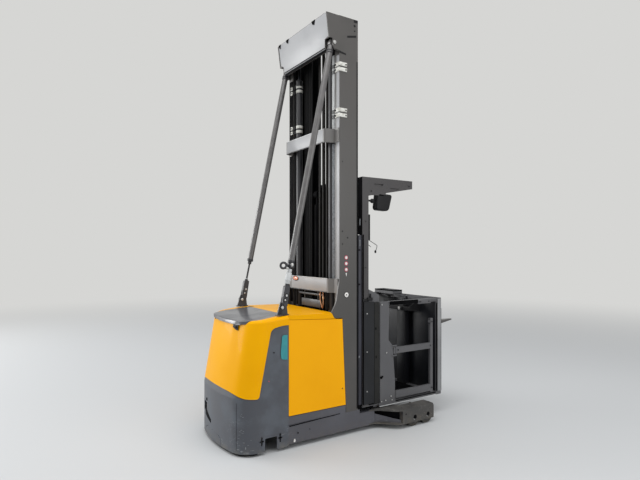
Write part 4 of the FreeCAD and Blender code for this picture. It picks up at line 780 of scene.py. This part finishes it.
# Amber lens and its rim; painted highlights on the crossmembers' top edges and painted shade strips under them
LENS_Y = 0.24
LENS_Z = 1.361
piece("amber_reflector", AMBER, "yellow_plastic",
      (ball, (cross_low.x + 0.047, LENS_Y, LENS_Z), (0.011, 0.05, 0.019), 32, 16))
bm = bmesh.new()
ring(bm, (MAST_REAR_X - 0.048, LENS_Y, LENS_Z), (1, 0, 0), 0.022, 0.003, 36, 8)
bmesh.ops.scale(bm, vec=(1.0, 2.45, 1.0), space=Matrix.Translation((0, -LENS_Y, -LENS_Z)), verts=bm.verts[:])
make("lens_rim", bm, DARK_MACHINE, "chassis")
piece("crossmember_top_highlights", PALE_PAINT_AND_HIGHLIGHT, "dark_paint",
      (bow_strip, 0.0485, 0.0055, 0.318, 1.3795, 1.3865, 0.001),
      (bow_strip, 0.0965, 0.0055, 0.33, 2.711, 2.7175, 0.001))
piece("crossmember_under_shade", DARK_MACHINE, "dark_paint",
      (bow_strip, 0.049, 0.008, 0.322, 1.2585, 1.266, 0.0015),
      (bow_strip, 0.097, 0.008, 0.336, 2.5945, 2.601, 0.0015))

# Stays: collars at the top, pale sleeves, pins and bright nuts on the links
STAY_Y = -0.405
STAY_TOP = Vector((-0.388, STAY_Y, 3.46))
STAY_FOOT = Vector((-0.884, STAY_Y, 1.112))
LINK_PINS = ((-0.845, 1.262, 0.01), (-0.859, 1.226, 0.008), (-0.884, 1.166, 0.013))
LINK_WASHERS = ((-0.845, 1.262, 0.015), (-0.859, 1.226, 0.013), (-0.884, 1.166, 0.021), (-0.899, 1.128, 0.01))


def stay_rod(bm, start, end, radius, segments, edge):
    """Collar on the stay between two shares of its length from the top."""
    rod(bm, STAY_TOP.lerp(STAY_FOOT, start), STAY_TOP.lerp(STAY_FOOT, end), radius, segments, edge)


nut = STAY_TOP.lerp(STAY_FOOT, 0.893)
piece("stay_sleeves", PALE_PAINT_AND_HIGHLIGHT, "bright_steel", (stay_rod, 0.8545, 0.895, 0.0245, 32, 0.003),
      (stay_rod, 0.878, 0.884, 0.0275, 32, 0.001), (stay_rod, 0.8425, 0.8535, 0.02, 32, 0.002),
      (rod, (nut.x, -nut.y, nut.z), (nut.x - 0.003, -nut.y, nut.z - 0.014), 0.013, 6, 0.001))
piece("stay_collars", DARK_MACHINE, "dark_paint",
      *((stay_rod, share, share + 0.0045, 0.0305, 32, 0.0015) for share in (0.028, 0.036)),
      (stay_rod, 0.812, 0.822, 0.0285, 32, 0.002), (stay_rod, 0.8225, 0.833, 0.019, 6, 0.001), both=True)
piece("link_pins", PALE_PLATE, "bright_steel",
      *((disc, (x, STAY_Y + way * 0.017, z), (0, way, 0), radius, 0.004, 24, 0.001)
        for x, z, radius in LINK_PINS for way in (-1, 1)), both=True)
piece("link_washers", BLACK_PLASTIC, "black_plastic",
      *((ring, (x, STAY_Y - 0.018, z), (0, 1, 0), radius, 0.002, 28, 8) for x, z, radius in LINK_WASHERS), both=True)

# Lifting shackle on the right stay
piece("lifting_shackle", DARK_MACHINE, "dark_paint",
      (ring, (-0.866, STAY_Y, 1.512), (0.35, 1, 0.15), 0.024, 0.0095, 36, 12),
      (rod, (-0.846, STAY_Y - 0.004, 1.51), (-0.806, STAY_Y, 1.508), 0.012, 20, 0.002),
      (rod, (-0.842, STAY_Y - 0.022, 1.49), (-0.842, STAY_Y + 0.022, 1.49), 0.008, 20, 0.001),
      (block, (-0.824, STAY_Y - 0.03, 1.49), (-0.776, STAY_Y + 0.03, 1.53), 0.006))
piece("shackle_bolts", PALE_PLATE, "bright_steel",
      (bolt, (-0.8, STAY_Y - 0.03, 1.518), RIGHT, 0.01, 0.008),
      (bolt, (-0.842, STAY_Y - 0.022, 1.49), RIGHT, 0.008, 0.006))

# Blank discs and films on the mast's right side
LIFT_POINT = (-0.257, 1.243)
STICKER_X = -0.259
STICKER_HEIGHTS = (1.573, 1.52, 1.467)
piece("lifting_point_rim", BLACK_PLASTIC, "black_plastic",
      (side_disc, MAST_SIDE_Y, *LIFT_POINT, 0.026, 0.0015, 36),
      (side_disc, MAST_SIDE_Y - 0.0035, *LIFT_POINT, 0.006, 0.001, 20))
piece("lifting_point_disc", WHITE_FILM, "bright_steel",
      (side_disc, MAST_SIDE_Y - 0.0015, *LIFT_POINT, 0.0215, 0.002, 36, 0.0005))
piece("rose_discs", ROSE_FILM, "bright_steel",
      *((side_disc, MAST_SIDE_Y, STICKER_X, z, 0.0195, 0.0008, 32) for z in STICKER_HEIGHTS))
piece("pale_disc_centres", WHITE_FILM, "bright_steel",
      *((side_disc, MAST_SIDE_Y - 0.0008, STICKER_X, z, 0.0125, 0.0006, 32) for z in STICKER_HEIGHTS),
      (side_plate, MAST_SIDE_Y, 0.0018, ((-0.266, 1.436), (-0.251, 1.436), (-0.2585, 1.404))))

# Blank teal film, red dot and small holes on the right side
piece("teal_film", TEAL_FILM, "frame_paint",
      (round_plate, [(x, SIDE_Y, z) for x, z in ((-0.905, 0.945), (-0.855, 0.945), (-0.855, 0.741), (-0.912, 0.748),
                                                 (-0.918, 0.8))],
       [0.016, 0.003, 0.003, 0.016, 0.01], 5, (0, -0.001, 0)))
piece("red_paint_dot", ROSE_FILM, "frame_paint", (side_disc, SIDE_Y, -1.026, 0.586, 0.005, 0.001, 16))
piece("body_side_holes", BLACK_PLASTIC, "black_plastic",
      *((side_disc, SIDE_Y, x, z, radius, 0.001, 18)
        for x, z, radius in ((-0.98, 0.811, 0.006), (-0.755, 0.12, 0.007), (-0.64, 0.13, 0.004))), both=True)
piece("pale_paint_chip", WHITE_FILM, "frame_paint",
      (side_plate, SIDE_Y, 0.0018, ((-0.797, 0.052), (-0.782, 0.05), (-0.779, 0.066), (-0.787, 0.078),
                                    (-0.796, 0.07))))

# Skirt: upright seam, round outline and dark openings that follow the rear's bow
CORNER_X = -1.1154
CORNER_Y = -0.275


def corner_place(angle, z, out=0.0):
    """Point on the skirt's right rear corner. Angle 0 faces the rear and pi/2 faces the side."""
    reach = CORNER_RADIUS + out
    return Vector((CORNER_X - reach * cos(angle), CORNER_Y - reach * sin(angle), z))


SEAM_ANGLE = 0.526
SEAM_HALF = 0.005
SEAM_FOOT_Z = 0.052
SEAM_TOP_Z = 0.424
piece("skirt_seam", BLACK_PLASTIC, "frame_paint",
      (plate, [corner_place(SEAM_ANGLE + way * SEAM_HALF, z, 0.0005)
               for way, z in ((-1, SEAM_FOOT_Z), (1, SEAM_FOOT_Z), (1, SEAM_TOP_Z), (-1, SEAM_TOP_Z))],
       (0.004 * cos(SEAM_ANGLE), 0.004 * sin(SEAM_ANGLE), 0)), both=True)

SLOT_STEPS = 10


def slot_place(step, top):
    """Point on the upper or lower edge of the skirt's curved slot."""
    share = step / SLOT_STEPS
    return rear_place(0.24 - 0.18 * share, 0.262 - 0.075 * share if top else 0.185 - 0.03 * share, 0.0002)


piece("skirt_openings", BLACK_PAINT_AND_SHADE, "black_plastic", (disc, rear_place(0.185, 0.329), (-1, 0, 0), 0.014, 0.003),
      *((plate, [slot_place(step, True), slot_place(step + 1, True), slot_place(step + 1, False),
                 slot_place(step, False)], (0.003, 0, 0)) for step in range(SLOT_STEPS)))
piece("skirt_outline", BLACK_PAINT_AND_SHADE, "frame_paint",
      (pipe, [rear_place(y, z, -0.004) for y, z in (
          (-0.145, 0.03), (-0.147, 0.07), (-0.138, 0.088), (-0.118, 0.099), (-0.08, 0.106), (-0.03, 0.109),
          (0.03, 0.111), (0.09, 0.111), (0.15, 0.108), (0.195, 0.096), (0.23, 0.068), (0.24, 0.03))],
       0.0042, 10))

# Painted shadow under the skirt: a dark band just inside its foot, in the hose rubber finish.
BAND_FOOT_Z = 0.01
BAND_INSET = -0.016
BAND_HALF = 0.004
band = [rear_place(y / 100, BAND_FOOT_Z, BAND_INSET) for y in range(24, -28, -4)]
band += [corner_place(step * pi / 24, BAND_FOOT_Z, BAND_INSET) for step in range(1, 13)]


def band_plate(bm, start, end):
    """Upright strip of the dark band that paints the shadow under the skirt, from place to place."""
    side = (end - start).cross(Vector((0, 0, 1))).normalized() * BAND_HALF
    plate(bm, [start - side, end - side, end + side, start + side], (0, 0, skirt_low.z - BAND_FOOT_Z + BAND_HALF))


piece("skirt_shadow_band", HOSE_RUBBER, "black_plastic",
      *((band_plate, start, end) for start, end in zip(band, band[1:])), both=True)
# Rubbed spots on the skirt's corner: angle, height, width and tallness
RUBBED_SPOTS = (
    (1.02, 0.04, 0.05, 0.007), (0.8, 0.05, 0.022, 0.012), (0.62, 0.062, 0.03, 0.006),
    (1.28, 0.056, 0.034, 0.005), (0.98, 0.077, 0.008, 0.02), (0.72, 0.205, 0.022, 0.003),
    (0.78, 0.218, 0.016, 0.003), (0.84, 0.196, 0.02, 0.003), (0.88, 0.21, 0.012, 0.004),
    (0.76, 0.33, 0.014, 0.003), (0.86, 0.322, 0.02, 0.003), (0.8, 0.344, 0.01, 0.004),
    (0.66, 0.15, 0.016, 0.002), (0.9, 0.12, 0.024, 0.003), (0.7, 0.095, 0.02, 0.003),
    (1.1, 0.1, 0.014, 0.003), (1.22, 0.14, 0.012, 0.002), (0.58, 0.11, 0.012, 0.004))
piece("skirt_rubbed_spots", WORN_GREY, "frame_paint",
      *((ball, corner_place(angle, z, 0.0003), (0.0008, wide / 2, high / 2), 20, 10, angle)
        for angle, z, wide, high in RUBBED_SPOTS))
piece("skirt_edge_scratches", WORN_GREY, "frame_paint",
      *((rod, corner_place(angle, z, 0.0004), corner_place(angle + 0.12, z + 0.002, 0.0004), 0.001, 8)
        for z in (0.028, 0.036) for angle in (0.25, 0.85)))

# Long dark groove along the right and left beams, under the battery doors
piece("beam_groove", BLACK_PAINT_AND_SHADE, "black_plastic",
      (side_plate, SIDE_Y, 0.0018, ((-0.838, 0.185), (-0.33, 0.202), (-0.33, 0.2065), (-0.838, 0.1925))),
      both=True)

# Mast's inside: dark cover, strands and a bracket with hoses below it, riding with the inner stage
COVER_X = (-0.186, -0.176)
COVER_Z = (0.235, 3.56)
piece("stage_cover", BLACK_PAINT_AND_SHADE, "dark_paint",
      *((block, (COVER_X[0], start, COVER_Z[0]), (COVER_X[1], end, COVER_Z[1]), 0.002)
        for start, end in ((0.118, 0.292), (-0.292, -0.176))),
      *((upright_rod, -0.187, y, 0.24, 3.56, 0.006, 10)
        for y in (0.14, 0.165, 0.19, 0.215, 0.24, 0.265, -0.2, -0.225, -0.25, -0.275)), body="inner_stage")
piece("stage_strands", HOSE_RUBBER, "hose_rubber",
      *((upright_rod, -0.186, y, 0.235, 3.575, 0.008, 14) for y in (0.012, -0.057, -0.118, -0.18)),
      body="inner_stage")
piece("stage_hose_bundle", BLACK_PAINT_AND_SHADE, "hose_rubber",
      *((upright_rod, -0.179, -0.022 + step * 0.0115, 0.24, 2.11, 0.0062, 10) for step in range(11)),
      (block, (-0.185, -0.029, 2.095), (-0.173, 0.1, 2.25), 0.004), body="inner_stage")

# Below the lower crossmember: dark box, brass lines and tubes between the uprights
piece("valve_box", DARK_MACHINE, "dark_paint",
      (block, (-0.352, -0.174, 1.104), (-0.332, 0.169, 1.176), 0.004),
      (block, (-0.346, -0.2, 1.214), (-0.333, 0.23, 1.232), 0.003),
      *((upright_rod, -0.342, y, 1.172, 1.262, 0.007, 16) for y in (-0.12, 0.12)))
piece("brass_lines", COPPER, "bright_steel",
      (rod, (-0.35, -0.166, 1.256), (-0.352, -0.17, 1.176), 0.005, 14),
      (rod, (-0.352, -0.17, 1.18), (-0.35, -0.196, 1.112), 0.005, 14),
      (rod, (-0.35, -0.214, 1.256), (-0.352, -0.222, 1.15), 0.005, 14),
      (rod, (-0.352, -0.222, 1.152), (-0.35, -0.206, 1.104), 0.005, 14),
      (rod, (-0.352, -0.222, 1.19), (-0.352, -0.222, 1.214), 0.009, 6, 0.001),
      (rod, (-0.351, -0.168, 1.216), (-0.351, -0.167, 1.238), 0.009, 6, 0.001))
piece("loom_tubes", HOSE_RUBBER, "hose_rubber",
      *((upright_rod, -0.349, y, 1.1, 1.262, 0.008, 14) for y in (-0.262, -0.286, 0.262)))

# Battery cover: dark slot beside the lid
piece("deck_slot", BLACK_PLASTIC, "black_plastic",
      (plate, [(x, y, DECK_Z - 0.004) for x, y in ((-0.842, 0.33), (-0.8, 0.322), (-0.79, 0.336),
                                                   (-0.842, 0.35))], (0, 0, 0.0055), 0.001))

# Cab's right side: post foot panel, seam, liner, painted shade in the recess and two small dark marks
piece("post_foot_panel", DARK_PANEL_AND_SHADE, "dark_paint",
      (round_plate, [(x, SIDE_Y + FACE, z) for x, z in ((-0.0665, 0.236), (0.05, 0.236), (0.05, 1.166),
                                                        (-0.0665, 1.166))],
       [0.002, 0.004, 0.006, 0.002], 4, (0, -0.003, 0)), body="cab", both=True)
piece("post_foot_seam", BLACK_PAINT_AND_SHADE, "black_plastic",
      (side_panel, -0.0788, -0.067, 0.236, 1.78, 0.0014), body="cab", both=True)
piece("recess_liner", DUSTY_STRIP, "dark_paint",
      (side_panel, 0.053, 0.115, 0.222, 1.158, 0.001, SIDE_Y + 0.006), body="cab", both=True)
# Painted shade along the recess's edge and under the floor's rim; the two small squares are dark marks.
piece("recess_marks_and_shade", BLACK_PAINT_AND_SHADE, "black_plastic",
      (side_panel, 0.0505, 0.056, 0.236, 1.16, 0.0025, SIDE_Y + 0.0015),
      (side_panel, 0.076, 0.084, 0.64, 0.665, 0.0016, SIDE_Y + 0.005),
      (side_panel, 0.07, 0.082, 0.905, 0.925, 0.0016, SIDE_Y + 0.005),
      (side_panel, -0.09, 0.06, 0.188, 0.216, 0.002, SIDE_Y + 0.026), body="cab", both=True)

# Carriage guides that fill the gap between the mast and the cab
piece("carriage_guides", SLATE_PANEL, "dark_paint",
      (block, (-0.12, -0.4485, 0.24), (-0.086, -0.425, 1.775), 0.003),
      (block, (-0.112, -0.4488, 0.25), (-0.106, -0.447, 1.77), 0.0008), body="cab", both=True)
piece("guide_dark_strips", BLACK_PAINT_AND_SHADE, "black_plastic",
      (block, (-0.085, -0.447, 0.225), (-0.08, -0.425, 2.3), 0.001),
      (block, (-0.119, -0.4485, 1.78), (-0.083, -0.425, 2.296), 0.004),
      *((block, (-0.1195, -0.449, z - 0.008), (-0.1, -0.427, z + 0.008), 0.002) for z in (0.232, 1.33, 1.64)),
      body="cab", both=True)
piece("guide_pale_clips", WORN_GREY, "bright_steel",
      (ball, (-0.113, -0.448, 0.676), (0.007, 0.00175, 0.0112), 16, 10),
      *((block, (-0.109, -0.4492, z - high), (-0.102, -0.448, z + high), 0.0004)
        for z, high in ((1.892, 0.03), (1.703, 0.028))), body="cab", both=True)

# Painted shade: dark strip along the front edge of the uprights' side faces
piece("upright_front_edge_shade", BLACK_PAINT_AND_SHADE, "dark_paint",
      (side_plate, MAST_SIDE_Y, 0.0016, ((-0.144, 0.215), (-0.1315, 0.215), (-0.1315, 3.33), (-0.144, 3.33))),
      both=True)

# Entry: clamp and gusset at the post's foot, bolts, grip, painted highlight on the sill's edge, gate bracket
piece("post_clamp", BLACK_PLASTIC, "black_plastic",
      (block, (-0.0785, SIDE_Y - 0.004, 1.166), (-0.012, SIDE_Y + 0.03, 1.196), 0.006),
      (block, (-0.03, SIDE_Y - 0.01, 1.176), (0.03, SIDE_Y + 0.016, 1.206), 0.005),
      (upright_rod, 0.008, SIDE_Y, 1.2, 1.24, 0.008, 16, 0.002), body="cab", both=True)
bm = bmesh.new()
block(bm, (-0.004, SIDE_Y + 0.006, 1.159), (0.117, SIDE_Y + 0.045, 1.29), 0.004)
bmesh.ops.bisect_plane(bm, geom=bm.verts[:] + bm.edges[:] + bm.faces[:], dist=1e-6, plane_co=(0.117, 0, 1.225),
                       plane_no=(0.45, 0, 1.0), clear_outer=True)
bmesh.ops.holes_fill(bm, edges=bm.edges[:])
mirror_across(bm)
make("corner_gusset", bm, CAB_PAINT, "cab")
piece("entry_bolts", PALE_PLATE, "bright_steel",
      *((bolt, (x, SIDE_Y, z), RIGHT, 0.0052, 0.003)
        for x, z in ((0.146, 1.131), (0.201, 0.679), (0.255, 0.265), (0.267, 0.229), (0.14, 0.232), (0.19, 0.236))),
      *((bolt, (-0.032, SIDE_Y - 0.003, z), RIGHT, 0.0042, 0.003) for z in (0.712, 0.352, 1.06)),
      body="cab", both=True)
piece("side_rail_grip", BLACK_PAINT_AND_SHADE, "black_plastic",
      (side_disc, SIDE_Y, 0.138, 0.455, 0.012, HOLE, 20), (side_disc, SIDE_Y, 0.152, 0.462, 0.009, HOLE, 20),
      (side_panel, 0.1165, 0.1215, 0.222, 1.155, 0.0008), (side_panel, 0.315, 0.844, 0.208, 0.2185, 0.0012),
      (side_panel, 0.24, 0.595, 1.1235, 1.1585, 0.01, SIDE_Y, 0.003), body="cab", both=True)
# Painted highlight along the sill's edge.
piece("sill_edge_highlight", PALE_PAINT_AND_HIGHLIGHT, "dark_paint",
      (side_panel, 0.118, 0.84, 0.1868, 0.1935, 0.0012), body="cab", both=True)
piece("gate_bracket", CAB_PAINT, "dark_paint",
      (side_panel, 0.596, 0.77, 1.112, 1.159, 0.004, SIDE_Y, 0.002),
      (side_panel, 0.746, 0.846, 1.14, 1.159, 0.003, SIDE_Y, 0.001), body="cab", both=True)
piece("bracket_bolts", BLACK_PLASTIC, "black_plastic",
      *((side_disc, SIDE_Y - 0.004, x, 1.133, 0.0065, 0.003, 20, 0.001) for x in (0.612, 0.632, 0.742)),
      body="cab", both=True)

# Front post: dark gap beside the gate and paler face
piece("front_post_gap", BLACK_PAINT_AND_SHADE, "black_plastic", (side_panel, 0.8503, 0.866, 0.222, 1.11, 0.0012),
      (side_panel, 0.916, 0.9205, 0.222, 1.05, 0.001), body="cab", both=True)
piece("front_post_face", POST_FACE, "dark_paint",
      (side_panel, 0.867, 0.915, 0.222, 1.15, 0.003, SIDE_Y, 0.001), body="cab", both=True)

# Gates: bolts on the rails and a latch each
SIDES = ((SIDE_Y, -1, "right"), (-SIDE_Y, 1, "left"))
for y, side, tag in SIDES:
    piece("gate_bolts_" + tag, BLACK_PLASTIC, "black_plastic",
          *((disc, (x, y, z), (0, side, 0), 0.0065, 0.003, 20, 0.001)
            for x, z in ((0.77, 0.69), (0.79, 0.268), (0.79, 0.925), (0.345, 0.69))), body="gate_" + tag)
    inner, outer = sorted((y, y - side * 0.022))
    piece("gate_latch_" + tag, DARK_MACHINE, "dark_paint", (block, (0.76, inner, 0.9), (0.774, outer, 0.957), 0.003),
          (disc, (0.752, y - side * 0.01, 0.93), (0, side, 0), 0.014, 0.01, 24, 0.003), body="gate_" + tag)

# Inside: dark panels painting shade on the inner walls, floor mat, column cover, knob and controls on the desk
piece("inner_wall_shade_panels", DARK_PANEL_AND_SHADE, "dark_paint",
      (block, (0.8455, 0.066, 0.224), (0.8505, 0.44, 1.12), 0.0015),
      (block, (0.8455, -0.44, 0.224), (0.8505, -0.066, 1.12), 0.0015),
      (block, (-0.059, -0.395, 0.224), (-0.056, 0.395, 1.15), 0.0015), body="cab")
piece("floor_mat", BLACK_PAINT_AND_SHADE, "black_plastic", (block, (-0.05, -0.398, 0.2175), (0.78, 0.398, 0.2235), 0.002),
      *((block, (x, -0.39, 0.2225), (x + 0.01, 0.39, 0.2255), 0.001)
        for x in (-0.03 + step * 0.033 for step in range(24))), body="cab")
piece("column_cover", DARK_PANEL_AND_SHADE, "black_plastic",
      (block, (0.7875, -0.066, 0.2245), (0.85, 0.066, 1.009), 0.004), body="cab")
piece("desk_white_knob", WHITE_FILM, "bright_steel",
      (disc, (0.6995, -0.066, 1.03), (-1, 0, 0), 0.016, 0.002, 24, 0.0005), body="cab")
piece("desk_controls", BLACK_PLASTIC, "black_plastic",
      (block, (0.692, -0.122, 1.012), (0.7005, -0.088, 1.046), 0.003),
      (block, (0.7, 0.09, 1.052), (0.79, 0.19, 1.118), 0.014),
      (rod, (0.745, 0.14, 1.1), (0.742, 0.14, 1.15), 0.022, 28, 0.004, 0.017),
      (block, (0.705, -0.195, 1.06), (0.78, -0.105, 1.115), 0.014),
      (rod, (0.742, -0.15, 1.1), (0.73, -0.15, 1.16), 0.016, 24, 0.003, 0.012), body="cab")
KNOB_X = 0.742
KNOB_Y = 0.14
piece("steering_knob", BLACK_PLASTIC, "black_plastic",
      (ring, (KNOB_X, KNOB_Y, 1.152), (0.1, 0, 1), 0.045, 0.008, 36, 12),
      *((rod, (KNOB_X, KNOB_Y, 1.15), (KNOB_X + 0.044 * cos(turn), KNOB_Y + 0.044 * sin(turn), 1.152), 0.005, 12)
        for turn in (0, 2 * pi / 3, 4 * pi / 3)), body="cab")
piece("desk_screen", DARK_PANEL_AND_SHADE, "black_plastic",
      (block, (0.781, -0.058, 1.078), (0.8, 0.058, 1.128), 0.004), body="cab")

# Folded rim on the black tray
RIM = (tray_low.x, tray_low.y - 0.002, tray_high.z - 0.012)
piece("tray_rim", BLACK_PAINT_AND_SHADE, "black_plastic",
      (block, (RIM[0] - 0.002, RIM[1], RIM[2]), (tray_low.x + 0.01, tray_high.y, tray_high.z + 0.001), 0.002),
      (block, RIM, (tray_high.x, tray_low.y + 0.01, tray_high.z + 0.001), 0.002), body="cab")

# Overhead guard: fasteners, slots and a knob; strip and wire hook behind the right post
piece("guard_slots", BLACK_PLASTIC, "black_plastic", (side_panel, 0.058, 0.165, 2.2455, 2.2495, 0.001),
      (side_panel, 0.25, 0.356, 2.2165, 2.22, 0.001),
      *((side_disc, SIDE_Y, x, z, radius, HOLE, 18)
        for x, z, radius in ((0.484, 2.253, 0.006), (0.15, 2.246, 0.007), (0.02, 2.18, 0.006),
                             (-0.045, 1.48, 0.005), (-0.045, 1.9, 0.005))), body="cab", both=True)
piece("guard_top_bolts", GUARD_PAINT, "dark_paint",
      *((bolt, (x, SIDE_Y + 0.02, 2.3055), (0, 0, 1), 0.006, 0.0005) for x in (0.03, 0.18, 0.33, 0.48)),
      body="cab", both=True)
piece("mirror_bracket_knob", BLACK_PLASTIC, "black_plastic",
      (block, (-0.0085, SIDE_Y + 0.004, 1.73), (0.01, SIDE_Y + 0.03, 1.965), 0.003),
      (rod, (0.036, SIDE_Y + 0.012, 2.091), (-0.01, SIDE_Y + 0.02, 2.094), 0.009, 16),
      (ball, (0.038, SIDE_Y + 0.012, 2.091), (0.021, 0.021, 0.021)), body="cab")
HOOK = [(-0.009, SIDE_Y + 0.01, 1.735), (0.04, SIDE_Y + 0.006, 1.708), (0.089, SIDE_Y + 0.004, 1.682),
        (0.086, SIDE_Y + 0.004, 1.66), (0.07, SIDE_Y + 0.004, 1.625)]
piece("wire_hook", BLACK_PLASTIC, "black_plastic", (pipe, HOOK, 0.0028, 10),
      (ball, HOOK[-1], (0.0096, 0.0096, 0.0144), 16, 10),
      (rod, (-0.009, SIDE_Y + 0.01, 1.69), (0.02, SIDE_Y + 0.008, 1.668), 0.0026, 10), body="cab")

# Mirror: rounded black shell round the plain body
bm = bmesh.new()
round_plate(bm, [(x, SIDE_Y + 0.006, z) for x, z in ((0.084, 2.012), (0.236, 2.004), (0.279, 2.16), (0.104, 2.168))],
            [0.03, 0.03, 0.026, 0.026], 6, (0, 0.068, 0))
soften(bm, [e for e in bm.edges if len(e.link_faces) == 2 and any(len(f.verts) > 8 for f in e.link_faces)], 0.01, 4)
upright_rod(bm, 0.19, SIDE_Y + 0.03, 2.12, 2.3, 0.009, 20)
mirror_piece = make("mirror_shell", bm, BLACK_PLASTIC, "cab")
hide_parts("mirror")

# Wheel boxes: dark axle ends, web plates and dark linings towards the beams, bolts
ARM_EDGE = ((0.064, -0.448), (0.11, -0.47), (0.16, -0.512), (0.205, -0.56), (0.258, -0.6))
ARM_TOPS = (0.132, 0.118, 0.104, 0.092, 0.08)
ARM_FOOT_Z = 0.05


def arm_plates(bm, inward, tops):
    """Upright plates along the beams' turn to the wheel boxes, moved inwards, with a top height for each point."""
    ends = [(Vector((x, y + inward, ARM_FOOT_Z)), Vector((x, y + inward, top))) for (x, y), top in zip(ARM_EDGE, tops)]
    for (foot, top), (next_foot, next_top) in zip(ends, ends[1:]):
        plate(bm, [foot, next_foot, next_top, top], (0, 0.006, 0))


piece("wheel_box_holes", BLACK_PAINT_AND_SHADE, "black_plastic",
      *((side_disc, arms_low.y + 0.0013, x, 0.087, 0.02, 0.0014, 28, 0.0004) for x in (0.413, 0.579)),
      (side_disc, arms_low.y + 0.0011, 0.3, 0.13, 0.007, HOLE, 18), both=True)
piece("arm_web_plates", FRAME_PAINT, "frame_paint", (arm_plates, 0.008, ARM_TOPS), both=True)
piece("arm_dark_linings", BLACK_PAINT_AND_SHADE, "dark_paint", (arm_plates, 0.03, (0.166,) * len(ARM_EDGE)),
      (block, (0.064, -0.44, 0.156), (0.25, -0.4, 0.164)), both=True)
piece("wheel_box_bolts", ARM_PAINT, "frame_paint",
      *((bolt, (x, y, 0.175), (0, 0, 1), 0.009, 0.005)
        for x, y in ((0.3, -0.56), (0.64, -0.56), (0.47, -0.48), (0.12, -0.38), (0.15, -0.44))), both=True)

# Load wheels: hub rings
WHEEL_Z = 0.077
for tag in ("right", "left"):
    for x, place in ((0.409, "rear"), (0.573, "front")):
        wheel_low, wheel_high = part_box("load_wheel_%s_%s" % (tag, place))
        piece("load_hub_%s_%s" % (tag, place), DARK_MACHINE, "bright_steel",
              *((ring, (x, y, WHEEL_Z), (0, 1, 0), radius, 0.003, segments, 8)
                for y in (wheel_low.y - 0.001, wheel_high.y + 0.001)
                for radius, segments in ((0.05, 36), (0.026, 32))),
              body="load_%s_%s" % (tag, place))

# Drive wheel: hub bolts
hub_x, hub_z = (hub_low.x + hub_high.x) / 2, (hub_low.z + hub_high.z) / 2
HUB_CIRCLE_R = 0.07
piece("hub_bolts", PALE_PLATE, "bright_steel",
      *((bolt, (hub_x + HUB_CIRCLE_R * cos(turn), hub_low.y + 0.012, hub_z + HUB_CIRCLE_R * sin(turn)), RIGHT, 0.009,
         0.009) for turn in (step * pi / 3 for step in range(6))), body="drive_wheel")

# Battery doors: two rivets each
for y, side, tag in SIDES:
    piece("door_rivets_" + tag, DOOR_YELLOW, "yellow_steel",
          *((disc, (x, y, 0.3), (0, side, 0), 0.005, 0.0008, 18) for x in (-0.8, -0.33)), body="door_" + tag)

# Forks: bolts on the fork plate
piece("fork_plate_bolts", PALE_PLATE, "bright_steel",
      *((bolt, (1.0, y, z), (-1, 0, 0), 0.01, 0.006) for y in (-0.25, 0.25) for z in (1.03, 0.96)),
      body="fork_lift")


# Floor that turns into the backdrop far from the truck
FLOOR_RADIUS = 40.0
FLOOR_ROUGH = 0.65
FADE_START = 4.0
FADE_END = 14.0
BACKDROP = rgb(214, 214, 212)
FLOOR_TONE = rgb(196, 198, 199)
bm = bmesh.new()
bmesh.ops.create_circle(bm, cap_ends=True, segments=64, radius=FLOOR_RADIUS)
floor_mesh = bpy.data.meshes.new("studio_floor")
bm.to_mesh(floor_mesh)
bm.free()
floor = add_object("studio_floor", floor_mesh)

floor_finish = bpy.data.materials.new("studio floor")
floor_finish.use_nodes = True
graph = Graph(floor_finish.node_tree)
concrete = graph.nodes["Principled BSDF"]
graph.put(concrete.inputs["Base Color"], FLOOR_TONE)
graph.put(concrete.inputs["Roughness"], FLOOR_ROUGH)
far = graph.add("Emission", {"Color": BACKDROP})[0]
distance = graph.add("VectorMath", {0: graph.place()}, operation="LENGTH")["Value"]
seen = graph.math("MULTIPLY", graph.ramp(distance, FADE_START, FADE_END), graph.direct_view())
blend = graph.add("MixShader", {"Fac": seen, 1: concrete.outputs[0], 2: far})[0]
graph.put(graph.nodes["Material Output"].inputs["Surface"], blend)
floor_mesh.materials.append(floor_finish)

# World: soft light for the truck, plain backdrop for the camera
WORLD_LEVEL = 0.62
WORLD_TONE = (0.97, 0.98, 1.0, 1.0)
world = bpy.data.worlds.new("studio world")
bpy.context.scene.world = world
world.use_nodes = True
graph = Graph(world.node_tree)
room = graph.nodes["Background"]
graph.put(room.inputs["Color"], WORLD_TONE)
graph.put(room.inputs["Strength"], WORLD_LEVEL)
plain = graph.add("Background", {"Color": BACKDROP})[0]
choose = graph.add("MixShader", {"Fac": graph.direct_view(), 1: room.outputs[0], 2: plain})[0]
graph.put(graph.nodes["World Output"].inputs["Surface"], choose)

# Soft lamps: place, the point it faces, width, height, power
LAMPS = (
    ("window_lamp", (-7.5, 7.0, 3.4), (-0.4, 0.0, 2.0), 6.0, 4.0, 560.0),
    ("ceiling_lamp", (-1.5, -1.5, 6.5), (0.0, 0.0, 1.0), 5.0, 5.0, 240.0),
    ("side_lamp", (2.0, -6.5, 3.0), (0.0, 0.0, 1.2), 4.0, 3.0, 100.0),
)
for name, location, target, width, height, power in LAMPS:
    lamp_data = bpy.data.lights.new(name, "AREA")
    lamp_data.shape = "RECTANGLE"
    lamp_data.size = width
    lamp_data.size_y = height
    lamp_data.energy = power
    lamp = add_object(name, lamp_data)
    lamp.location = location
    lamp.rotation_euler = (Vector(target) - Vector(location)).to_track_quat("-Z", "Y").to_euler()
